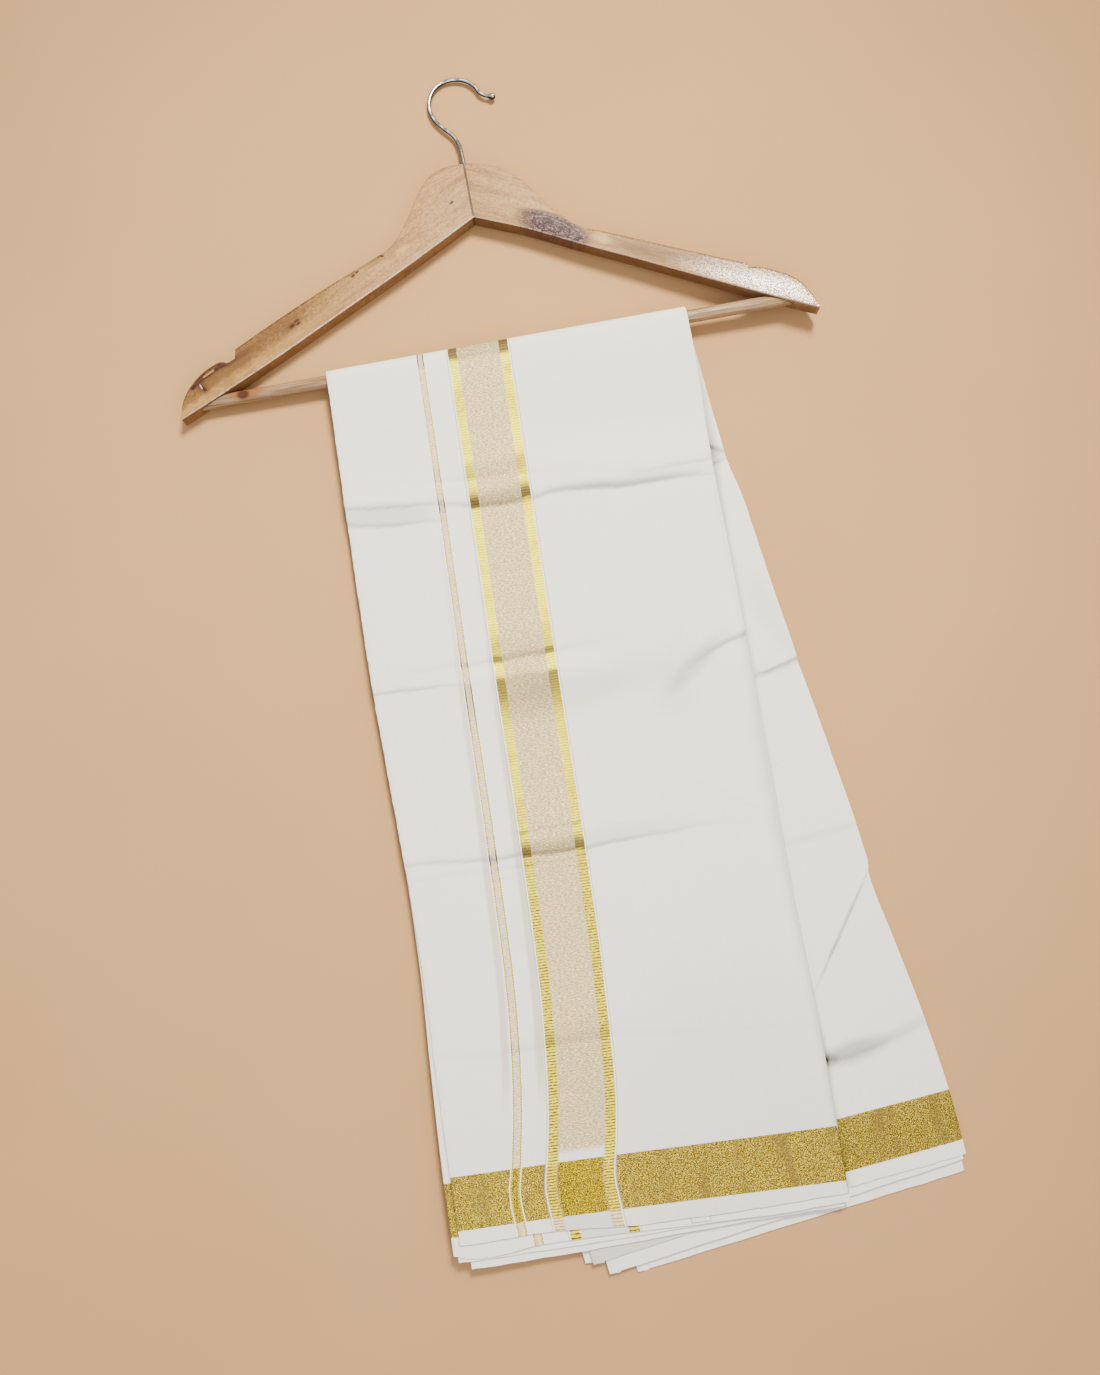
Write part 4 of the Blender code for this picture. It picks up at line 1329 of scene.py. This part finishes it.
def gold_flecks(loom):
    """Short broken flecks, as metal thread shows between the threads that hold it."""
    return ramp(streaks(loom, *FLECKS_PER_MM, detail=1.0, distortion=0.8), 0.38, 0.62)


def flecked(flecks, dark, middle, bright, bright_from):
    return mix(ramp(flecks, bright_from, 1.0), mix(flecks, dark, middle), bright)


print("a fleck of gold is about", round(1 / FLECKS_PER_MM[0], 1), "mm wide")


# %% Gold in ribs, for the stripes
RIB_PERIOD = 1.9
# down the weave, the stripes change between these places
OCHRE_RUN = (180.0, 420.0)
RIBS_DEEPEN = (260.0, 430.0)
RIB_DARK = (0.13, 0.085, 0.003)
RIB_LIGHT = (0.95, 0.85, 0.01)
RIB_OCHRE = (0.80, 0.60, 0.012)
RIB_GLINT = (1.0, 0.97, 0.12)
GOLD_SHADED = (0.105, 0.060, 0.024)


def ribs_across(loom):
    """1 on the ribs that gold thread makes across a stripe, 0 between them."""
    rib = calc("SINE", loom[1] * (2 * math.pi / RIB_PERIOD))
    broken = streaks(loom, 0.35, 1.1, 4.0, detail=1.0)
    return ramp(rib + ramp(broken, 0.35, 0.65, -0.5, 0.5), -0.8, 0.2)


def ribbed_gold(loom, ribs, shaded_gold):
    """Stripe gold: deeper ribs and more ochre towards the hem, painted glints and painted shade."""
    ochre = streaks(loom, 0.02, 0.045, 5.0, detail=3.0)
    ochre = ochre + ramp(loom[1], *OCHRE_RUN, -0.04, 0.06)
    glint = streaks(loom, 0.6, 1.1, 15.0, detail=1.0)
    return laid_over(
        mix(ramp(ochre, 0.38, 0.62), RIB_LIGHT, RIB_OCHRE),
        ((1.0 - ribs) * ramp(loom[1], *RIBS_DEEPEN, 0.30, 1.0), RIB_DARK),
        (ramp(glint, 0.58, 0.68, 0.0, 0.8), RIB_GLINT),
        (shaded_gold * ramp(ribs, 0.0, 1.0, 1.0, 0.93), GOLD_SHADED))


print("a rib every", RIB_PERIOD, "mm")


# %% Tissue of cotton and gold
TISSUE_COLOUR = (0.46, 0.31, 0.12)
TISSUE_BRIGHT = (1.0, 0.82, 0.47)
TISSUE_ROW = (0.50, 0.36, 0.20)


def gold_tissue(loom, light):
    """Half cotton, half gold: pale, with sparks and slightly darker rows."""
    sparkle = streaks(loom, 0.55, 1.5, 11.0, distortion=0.3)
    rows = streaks(loom, 0.03, 1.3, 9.0)
    tissue = mix(ramp(sparkle, 0.34, 0.70), TISSUE_COLOUR, TISSUE_BRIGHT)
    return tinted(mix(ramp(rows, 0.35, 0.65, 0.0, 0.25), tissue, TISSUE_ROW), light)


print("tissue", round(RIGHT_STRIPE[0] - LEFT_STRIPE[1], 1), "mm wide")


# %% Things beside the band
TAB_SIDES = (74.0, 86.6)
TAB_ENDS = (588.6, 592.4)
TAB_LINE = 0.7
TAB_COLOUR = (0.30, 0.29, 0.28)


def tab_outline(weave_u, weave_v):
    """A small tab folded into the second leaf's hem shows as a thin outline."""
    filled, inside = (
        strip(weave_u, TAB_SIDES[0] + inset, TAB_SIDES[1] - inset, 0.2)
        * strip(weave_v, TAB_ENDS[0] + inset, TAB_ENDS[1] - inset, 0.2)
        for inset in (0.0, TAB_LINE))
    return filled - inside


def beside(weave_u, first, last, soft):
    """Two strips along the outer sides of the band's stripes, from and to so far out."""
    return either(strip(weave_u, LEFT_STRIPE[0] - last, LEFT_STRIPE[0] - first, soft),
                  strip(weave_u, RIGHT_STRIPE[1] + first, RIGHT_STRIPE[1] + last, soft))


print("tab", round(TAB_SIDES[1] - TAB_SIDES[0], 1), "mm long")


# %% The whole weave
STITCH = 0.9
PAIR_WIDENS = (0.0, 450.0)      # down the weave, the pair of lines spreads
PAIR_SQUEEZE = 1.25
PIPING_COLOUR = (0.97, 0.92, 0.86)
STITCH_AND_GROOVE_SHADE = (0.46, 0.37, 0.37)
TISSUE_FADED = (0.72, 0.70, 0.64)
LINE_DARK = (0.30, 0.22, 0.008)
LINE_LIGHT = (0.66, 0.54, 0.02)
LINE_SHADED = (0.03, 0.02, 0.008)
PALE_DARK = (0.46, 0.33, 0.14)
PALE_LIGHT = (0.86, 0.74, 0.36)


def make_weave():
    material = start_material("cotton_and_zari")
    weave_u, weave_v, border_v = woven_place(material)
    loom = (weave_u, weave_v)
    # painted shade kept with the leaf: light lost and gold in shade; and how fresh the gold is
    lie = source(material, "ShaderNodeAttribute", "Vector", attribute_name="lie")
    lost, shaded_gold, fresh = split(lie)
    kept_light = 1.0 - lost
    ribs = ribs_across(loom)

    # where each kind of weave is
    border = strip(border_v, BORDER_TOP, BORDER_BOTTOM, 0.15)
    past_border = ramp(border_v, BORDER_BOTTOM - 0.2, BORDER_BOTTOM + 0.2)
    near_border = ramp(border_v, BORDER_TOP - 9.0, BORDER_TOP - 4.0)
    stripes = either(strip(weave_u, *LEFT_STRIPE, 0.2), strip(weave_u, *RIGHT_STRIPE, 0.2))
    tissue = strip(weave_u, LEFT_STRIPE[1], RIGHT_STRIPE[0], 0.3)
    pair_u = abs(weave_u - PAIR_MIDDLE) * ramp(weave_v, *PAIR_WIDENS, PAIR_SQUEEZE, 1.0)
    lines = strip(pair_u, *PAIR_LINE, 0.12)
    line_tissue = fade(pair_u, PAIR_LINE[0] - 0.2, PAIR_LINE[0] + 0.2)
    piping = either(beside(weave_u, 0.0, PIPING, 0.15),
                    strip(pair_u, PAIR_LINE[1], PAIR_LINE[1] + PIPING, 0.15))
    # painted shade in a thin groove outside each piping
    groove_shade = beside(weave_u, PIPING, 2 * PIPING, 0.2)
    stitches = either(
        strip(weave_u, RIGHT_STRIPE[0] - STITCH, RIGHT_STRIPE[0], 0.15),
        strip(weave_u, LEFT_STRIPE[1], LEFT_STRIPE[1] + STITCH, 0.15)) * (1.0 - ribs)

    # what each looks like
    cotton = cotton_ground(loom, kept_light)
    flecks = gold_flecks(loom)
    patches = streaks(loom, 0.09, 0.012, 3.0)
    border_gold = mix(ramp(patches, 0.48, 0.66, 0.0, 0.55),
                      flecked(flecks, GOLD_DARK, GOLD_COLOUR, GOLD_BRIGHT, 0.72), GOLD_PATCH)
    rich_gold = flecked(flecks, RICH_DARK, RICH_COLOUR, RICH_BRIGHT, 0.75)
    stripe_gold = ribbed_gold(loom, ribs, shaded_gold)
    line_gold = mix(shaded_gold, mix(ribs, LINE_DARK, LINE_LIGHT), LINE_SHADED)
    pale_gold = mix(fresh, mix(ribs, PALE_DARK, PALE_LIGHT), stripe_gold)
    tissue_gold = gold_tissue(loom, ramp(shaded_gold, 0.0, 1.0, 1.0, 0.72) * kept_light)
    colour = laid_over(
        cotton,
        (tissue, tissue_gold),
        (near_border * tissue, cotton),
        (line_tissue * 0.75, tissue_gold),
        (border, tinted(border_gold, kept_light)),
        (either(tissue, line_tissue) * border, rich_gold),
        (past_border * tissue, TISSUE_FADED),
        (stripes, stripe_gold),
        (lines, line_gold),
        (past_border * stripes, pale_gold),
        (either(groove_shade, stitches) * 0.7, STITCH_AND_GROOVE_SHADE),
        (piping, PIPING_COLOUR),
        (tab_outline(*loom) * fresh * 0.7, TAB_COLOUR))

    # metal shows only where gold does
    metal = either(border * 0.35, stripes * 0.30, lines * 0.25, tissue * 0.15)
    metal = metal * (1.0 - piping) * ramp(past_border, 0.0, 1.0, 1.0, 0.35)
    # threads in the ground, ribs across the stripes, flecks in the border
    thread = streaks(loom, 2.6, 2.6, 2.0, detail=1.0)
    height = thread * 0.25 + ribs * stripes * 0.8 + flecks * border * 0.5 + piping * 0.8
    set_shader(material, Base_Color=colour, Metallic=metal,
               Roughness=ramp(metal, 0.0, 0.35, 0.88, 0.50),
               Specular_IOR_Level=ramp(metal, 0.0, 0.35, 0.3, 0.15),
               Normal=bump(height, 0.5, 0.2))
    return material


WEAVE = make_weave()
print("weave material:", len(WEAVE.node_tree.nodes), "nodes")


# %% [markdown]
# ## Wood
#
# The arms are cut from a knotty pale hardwood, stained a little and clear-varnished.
# Grain runs along each arm, so both are drawn in directions turned to follow it. Knots,
# the stain round the tip, two cracks along its edge and the glue line are placed one by
# one, as they are the accidents that make one hanger differ from the next. Varnish lies
# thicker towards the tips, where it gleams.

# %% Places and distances on the hanger
ARM_SLOPE = math.radians(26.0)


def hanger_place(material):
    """Where a point is on the hanger, in mm: across, up from the bar, and forward."""
    place = split(source(material, "ShaderNodeTexCoord", "Object"))
    return [part * 1000.0 - start for part, start in zip(place, BAR)]


def turned_place(across, up, turn):
    """The same place along and across a direction that falls by an angle."""
    turn_cos, turn_sin = math.cos(turn), math.sin(turn)
    return across * turn_cos + up * -turn_sin, across * turn_sin + up * turn_cos


def away_from(across, up, centre, size, turn=0.0):
    """Distance from a centre, 1 on an ellipse of the given half sizes."""
    ahead, aside = turned_place(across - centre[0], up - centre[1], math.radians(turn))
    ahead, aside = ahead / size[0], aside / size[1]
    return calc("SQRT", ahead * ahead + aside * aside)


def streak(across, up, start, end):
    """Distance from a line between two places."""
    turn = math.atan2(start[1] - end[1], end[0] - start[0])
    centre = [(first + last) / 2 for first, last in zip(start, end)]
    ahead, aside = turned_place(across - centre[0], up - centre[1], turn)
    past_end = calc("MAXIMUM", abs(ahead) - math.dist(start, end) / 2, 0.0)
    return calc("SQRT", past_end * past_end + aside * aside)


def ragged(away, speckle, size):
    """A distance made uneven, so that what is drawn from it has a ragged edge."""
    return speckle * size + (away - size / 2)


def by_side(side, left, right):
    """One value on the left arm and another on the right."""
    return ramp(side, -1.0, 1.0, left, right)


print("arms slope", round(math.degrees(ARM_SLOPE)), "degrees")


# %% Sawn wood
PALE_WOOD = (0.50, 0.285, 0.115)
WARM_WOOD = (0.38, 0.195, 0.062)
GOLDEN_WOOD = (0.50, 0.255, 0.080)
BROWN_WOOD = (0.125, 0.058, 0.017)


def sawn_wood(side, place, layer, speckle):
    """Wood pale at the head and warmer towards the tips, brown in its dense grain."""
    ahead, aside = place
    broad = streaks(place, 0.016, 0.16, layer, detail=3.0, distortion=0.8)
    fine = streaks(place, 0.07, 1.5, layer, detail=4.0, roughness=0.65)
    mottle = streaks(place, 0.10, 0.32, layer, detail=3.0, roughness=0.7)
    warm = ramp(ahead, 10.0, 120.0) * by_side(side, 1.0, 0.85)
    on_left = by_side(side, 1.0, 0.0)
    lower = fade(aside, 91.0, 99.0, 0.5) * on_left * ramp(ahead, 60.0, 110.0)
    upper = on_left * ramp(aside, 92.0, 100.0) * ramp(ahead, 30.0, 120.0)
    mottled = ramp(mottle, 0.45, 0.58, 0.0, 0.42) * (on_left * ramp(ahead, 70.0, 140.0))
    colour = laid_over(
        mix(warm, PALE_WOOD, WARM_WOOD),
        (ramp(broad, 0.42, 0.68, 0.0, 0.42), BROWN_WOOD),
        (ramp(fine, 0.42, 0.66, 0.0, 0.38), BROWN_WOOD),
        (ramp(speckle, 0.38, 0.66, 0.0, 0.45), BROWN_WOOD),
        (lower, GOLDEN_WOOD),
        (upper * ramp(speckle, 0.38, 0.60, 0.22, 0.85), BROWN_WOOD),
        (mottled, BROWN_WOOD))
    return colour, fine


# %% Stains, cracks and the knot
DARK_WOOD = (0.030, 0.014, 0.008)
STAIN_AND_RIM_SHADE = (0.085, 0.034, 0.012)
YELLOW_FLAME = (0.60, 0.36, 0.08)
PALE_FLAME = (0.60, 0.40, 0.16)
KNOT_LIGHT = (0.30, 0.16, 0.14)
KNOT_DARK = (0.021, 0.009, 0.010)
GLUE_WOOD = (0.38, 0.18, 0.045)
STAPLE_STEEL = (0.55, 0.46, 0.42)
# colour, centre, half sizes, turn, share of the colour at its middle
STAINS = (
    (BROWN_WOOD, (-188.0, 21.0), (34.0, 9.0), -26.0, 0.55),
    (STAIN_AND_RIM_SHADE, (-178.0, 28.0), (16.0, 3.5), -26.0, 0.7),
    (BROWN_WOOD, (-150.0, 43.0), (40.0, 5.0), -26.0, 0.50),
    (STAIN_AND_RIM_SHADE, (-139.0, 43.0), (12.0, 3.5), -26.0, 0.5),
    (BROWN_WOOD, (-74.0, 79.0), (8.0, 4.0), -26.0, 0.40),
    (YELLOW_FLAME, (-54.0, 84.0), (8.5, 3.5), -30.0, 0.6),
    (PALE_FLAME, (86.0, 65.5), (10.0, 5.0), 40.0, 0.6),
    (BROWN_WOOD, (116.0, 50.0), (36.0, 8.0), 26.0, 0.65),
    (BROWN_WOOD, (150.0, 37.0), (34.0, 6.0), 26.0, 0.55),
)
# start, end, half the width, reach of the brown stain round it
CRACKS = (
    ((-181.8, 27.0), (-188.0, 23.9), 1.1, 4.0), ((-188.0, 23.9), (-195.2, 21.5), 1.4, 4.5),
    ((-195.2, 21.5), (-201.6, 17.8), 0.9, 3.5), ((-201.6, 17.8), (-207.8, 14.7), 0.9, 3.5),
    ((-207.8, 14.7), (-214.0, 10.6), 1.4, 5.0), ((-190.1, 24.2), (-195.9, 24.1), 0.7, 2.0),
    ((-195.9, 24.1), (-204.8, 19.6), 0.7, 2.0), ((-204.8, 19.6), (-211.3, 14.7), 0.8, 2.5),
    ((-208.5, 11.5), (-205.5, 7.5), 1.0, 5.5), ((-134.6, 46.2), (-136.4, 45.0), 0.8, 2.5),
    ((-138.0, 43.2), (-139.6, 41.8), 0.9, 3.0), ((-133.7, 43.8), (-135.0, 43.1), 0.6, 2.0),
    ((-90.6, 71.6), (-91.8, 70.9), 0.7, 2.0), ((-87.4, 73.4), (-88.4, 72.7), 0.5, 1.5),
    ((-68.6, 85.0), (-71.7, 82.5), 0.8, 3.0), ((-68.3, 81.6), (-71.3, 82.7), 0.6, 2.0),
    ((-13.0, 112.2), (-14.6, 111.4), 0.5, 1.5),
)
# start, end, half the width, colour
INSETS = (
    ((-198.0, 20.6), (-205.0, 17.2), 0.8, GLUE_WOOD),
    ((-208.6, 11.8), (-207.6, 9.2), 0.5, STAPLE_STEEL),
)
# centre, half sizes
KNOT = ((52.5, 80.5), (32.0, 11.0))
KNOT_CORE = ((51.6, 85.3), (4.5, 3.2))
KNOT_TURN = 33.0


def with_knot(colour, across, up, speckle):
    """The big knot: rings bent round a core, dense and dark at its far end."""
    away = ragged(away_from(across, up, *KNOT, KNOT_TURN), speckle, 0.5)
    core = away_from(across, up, *KNOT_CORE, KNOT_TURN)
    rings = ramp(calc("SINE", away * 30.0 + speckle * 7.0), -0.3, 0.8)
    rings = rings * ramp(speckle, 0.38, 0.62, 0.15, 1.0)
    knot = mix(rings, KNOT_DARK, KNOT_LIGHT)
    knot = mix(fade(core, 0.4, 1.0, 0.8), knot, KNOT_DARK)
    in_knot = fade(away, 0.75, 0.98) * ramp(across, 20.0, 44.0, 0.35, 1.0)
    return mix(in_knot, colour, knot)


def with_marks(colour, across, up, speckle):
    """Cracks in a brown stain, a splinter glued back, a staple, and the head's seam."""
    uneven = (speckle - 0.5) * 3.0
    for start, end, width, reach in CRACKS:
        away = streak(across, up, start, end) + uneven
        colour = laid_over(
            colour,
            (fade(away, 0.0, reach, 0.75), STAIN_AND_RIM_SHADE),
            (fade(away, width * 0.6, width * 1.2), DARK_WOOD))
    for start, end, width, inset in INSETS:
        away = streak(across, up, start, end)
        colour = mix(fade(away, width * 0.5, width, 0.9), colour, inset)
    seam = abs(speckle * 0.8 + across)
    return mix(fade(seam, 0.5, 1.0, 0.8), colour, DARK_WOOD)


print(len(STAINS), "stains and", len(CRACKS), "stretches of crack")


# %% Varnish, edges and the whole arm
SHADED_SIDE_WOOD = (0.105, 0.052, 0.024)
PAINTED_GLEAM_COLOUR = (0.78, 0.57, 0.46)


def varnish_coat(across, place, layer, rim_shade):
    """Thin at the head, thick towards the right tip, with small dull pits."""
    pits = streaks(place, 0.5, 0.7, layer, detail=3.0, roughness=0.7)
    coat = ramp(across, 122.0, 200.0, 0.02, 0.9)
    coat = coat * ramp(across * -0.05 + place[1], 82.0, 94.0, 1.0, 0.25)
    return coat * (1.0 - rim_shade) * ramp(pits, 0.42, 0.56, 0.30, 1.0)


def make_arm_wood():
    material = start_material("varnished_wood")
    across, up, forward = hanger_place(material)
    side = calc("SIGN", across)
    place = turned_place(abs(across), up, ARM_SLOPE)
    ahead = place[0]
    layer = side * 9.0 + forward * 0.12
    speckle = streaks(place, 0.55, 0.85, layer, detail=3.0, roughness=0.7)
    colour, fine = sawn_wood(side, place, layer, speckle)
    for stain, centre, size, turn, share in STAINS:
        away = ragged(away_from(across, up, centre, size, turn), speckle, 0.8)
        colour = mix(fade(away, 0.2, 1.0, share), colour, stain)
    colour = with_knot(colour, across, up, speckle)
    colour = with_marks(colour, across, up, speckle)

    # painted highlight: a pale line on the rounded lower front edge, where it faces
    # the hem side, stands for the light gleaming on the varnish there
    facing = split(source(material, "ShaderNodeNewGeometry", "True Normal"))
    rounded = strip(facing[2], 0.45, 0.985, 0.02) * ramp(facing[1], -0.05, -0.2)
    painted_gleam = rounded * ramp(speckle, 0.38, 0.56, 0.15, 1.0)
    painted_gleam = painted_gleam * ramp(ahead, 60.0, 200.0, 1.0, 0.5) * by_side(side, 1.0, 0.5)
    # painted shade: a dark line along the upper rim, where the rounded edge turns from the light
    below_rim = source(material, "ShaderNodeAttribute", "Fac", attribute_name="below_rim")
    rim_shade = fade(below_rim, 1.2, 2.4, 0.85) * ramp(ahead, 15.0, 60.0, 0.25, 1.0)
    rim_shade = rim_shade * ramp(speckle, 0.40, 0.60, 0.5, 1.0)
    # painted shade on the arms' sides, which turn away from the light
    sides = fade(facing[2], 0.2, 0.6) * by_side(side, 0.62, 0.85)
    colour = laid_over(
        colour, (painted_gleam, PAINTED_GLEAM_COLOUR), (rim_shade, STAIN_AND_RIM_SHADE), (sides, SHADED_SIDE_WOOD))

    set_shader(material, Base_Color=colour, Roughness=ramp(fine, 0.3, 0.7, 0.35, 0.5),
               Normal=bump(fine * 0.5 + speckle * 0.5, 0.35, 0.4), Specular_IOR_Level=0.12,
               Coat_Weight=varnish_coat(across, place, layer, rim_shade),
               Coat_Roughness=0.17, Coat_IOR=2.4, Coat_Normal=bump(speckle, 0.6, 0.4))
    return material


ARM_WOOD = make_arm_wood()
print("arm wood:", len(ARM_WOOD.node_tree.nodes), "nodes")

# %% Wood of the bar
BAR_PALE = (0.41, 0.265, 0.13)
BAR_BROWN = (0.20, 0.11, 0.046)
BAR_KNOT_RING = (0.27, 0.10, 0.025)
BAR_KNOT_DARK = (0.05, 0.014, 0.008)
BAR_KNOT = ((-178.5, 1.5), (14.0, 5.0))
BAR_KNOT_CORE = ((-180.5, 0.5), (5.5, 3.8))


def make_bar_wood():
    material = start_material("turned_wood")
    across, up, forward = hanger_place(material)
    grain = streaks((across, up), 0.03, 0.9, forward * 0.9, detail=4.0, roughness=0.6)
    pores = streaks((across, up), 0.4, 2.6, forward)
    knot = ragged(away_from(across, up, *BAR_KNOT), grain, 0.8)
    core = away_from(across, up, *BAR_KNOT_CORE)
    colour = laid_over(
        mix(ramp(grain, 0.38, 0.66), BAR_PALE, BAR_BROWN),
        (ramp(pores, 0.62, 0.70, 0.0, 0.6), BROWN_WOOD),
        (fade(across, -150.0, -70.0, 0.16), BROWN_WOOD),
        (fade(knot, 0.5, 1.1, 0.85), BAR_KNOT_RING),
        (fade(core, 0.5, 1.1, 0.92), BAR_KNOT_DARK))
    set_shader(material, Base_Color=colour, Roughness=ramp(grain, 0.3, 0.7, 0.35, 0.5),
               Normal=bump(grain, 0.2, 0.3), Specular_IOR_Level=0.25, Coat_Roughness=0.22,
               Coat_Weight=ramp(core, 0.8, 1.4, 0.0, 0.4))
    return material


BAR_WOOD = make_bar_wood()
print("bar wood:", len(BAR_WOOD.node_tree.nodes), "nodes")

# %% [markdown]
# ## Steel and the floor
#
# The hook is nickel-plated wire, bright, with the faint lengthwise lines that drawing
# it through a die leaves; a dark reflection is painted where it turns down to the sides.
# The floor is a sheet of plain matt card.

# %% Steel, card, and a finish for every piece
STEEL_LINE = (0.30, 0.29, 0.28)
STEEL_BRIGHT = (0.80, 0.79, 0.78)
STEEL_DARK_REFLECTION = (0.035, 0.033, 0.032)
CARD_DARK = (0.492, 0.275, 0.112)
CARD_LIGHT = (0.508, 0.285, 0.118)


def make_steel():
    material = start_material("bright_wire")
    across, up, forward = hanger_place(material)
    lines = streaks((across, up), 0.25, 0.25, forward * 5.0, detail=3.0)
    facing = split(source(material, "ShaderNodeNewGeometry", "Normal"))[2]
    colour = mix(ramp(lines, 0.35, 0.65), STEEL_LINE, STEEL_BRIGHT)
    # painted reflection: dark where the wire turns down to the sides
    colour = mix(ramp(facing, 0.55, 0.90), STEEL_DARK_REFLECTION, colour)
    set_shader(material, Base_Color=colour, Metallic=1.0,
               Roughness=ramp(lines, 0.3, 0.7, 0.12, 0.24))
    return material


def make_card():
    material = start_material("floor_card")
    place = source(material, "ShaderNodeTexCoord", "Object")
    cloud = noise(place, scale=6.0, detail=3.0)
    fibre = noise(place, scale=900.0)
    set_shader(material, Base_Color=mix(ramp(cloud, 0.3, 0.7), CARD_DARK, CARD_LIGHT),
               Roughness=0.9, Specular_IOR_Level=0.2, Normal=bump(fibre, 0.08, 0.2))
    return material


def paint(piece, material):
    piece.data.materials.clear()
    piece.data.materials.append(material)


for leaf in (front_leaf, back_leaf, *front_leaves, *lower_leaves):
    paint(leaf, WEAVE)
for piece, finish in ((left_arm, ARM_WOOD), (right_arm, ARM_WOOD), (trouser_bar, BAR_WOOD),
                      (hook, make_steel()), (floor, make_card())):
    paint(piece, finish)
print("every piece has its finish")

# %% [markdown]
# ## Fasten everything to the frame
#
# Every piece rides on the frame, and the imported model's solids that it stands for are
# hidden while these finer pieces are shown. Every piece is told what it stands for, so
# that the imported model's solids go on doing their work in a simulation while these
# finer pieces are shown. A table lists the length each leaf would have if it were taken
# off and laid flat; the leaves are all stretches of one long cloth.

# %% Ride on the frame
second_leaf, third_leaf, fourth_leaf = front_leaves
back_second_leaf, back_third_leaf, floor_leaf = lower_leaves
# piece, slot, the solids it stands for
PIECES = (
    (front_leaf, "cotton", ("front_field_left", "front_gold_band", "front_field_right",
                            "front_border", "front_hem")),
    (second_leaf, "cotton", ("front_folds",)),
    (third_leaf, "cotton", ()),
    (fourth_leaf, "cotton", ()),
    (back_leaf, "cotton", ("back_fall", "back_border", "back_hem")),
    (back_second_leaf, "cotton", ("back_folds",)),
    (back_third_leaf, "cotton", ()),
    (floor_leaf, "cotton", ("under_fall",)),
    (left_arm, "arm_wood", ("hanger_arm_left",)),
    (right_arm, "arm_wood", ("hanger_arm_right",)),
    (trouser_bar, "bar_wood", ("trouser_bar",)),
    (hook, "hook_steel", ("hanger_hook",)),
)
for piece, slot, nodes in PIECES:
    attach(piece, "root")
    if nodes:
        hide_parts(*nodes)

# piece, its length along the fall in mm, what it rests on
SHEETS = (
    (front_leaf, HEM + TURN_LENGTH, ("trouser_bar", "second_leaf")),
    (second_leaf, HEM, ("third_leaf",)),
    (third_leaf, HEM, ("fourth_leaf",)),
    (fourth_leaf, HEM, ("back_leaf",)),
    (back_leaf, HEM + INNER_TURN, ("trouser_bar", "back_second_leaf")),
    (back_second_leaf, HEM, ("back_third_leaf",)),
    (back_third_leaf, HEM, ("floor_leaf",)),
    (floor_leaf, HEM, ("floor",)),
)
for piece, length, below in SHEETS:
    length * MM
print(len(PIECES), "pieces,", len(SHEETS), "of them sheets")
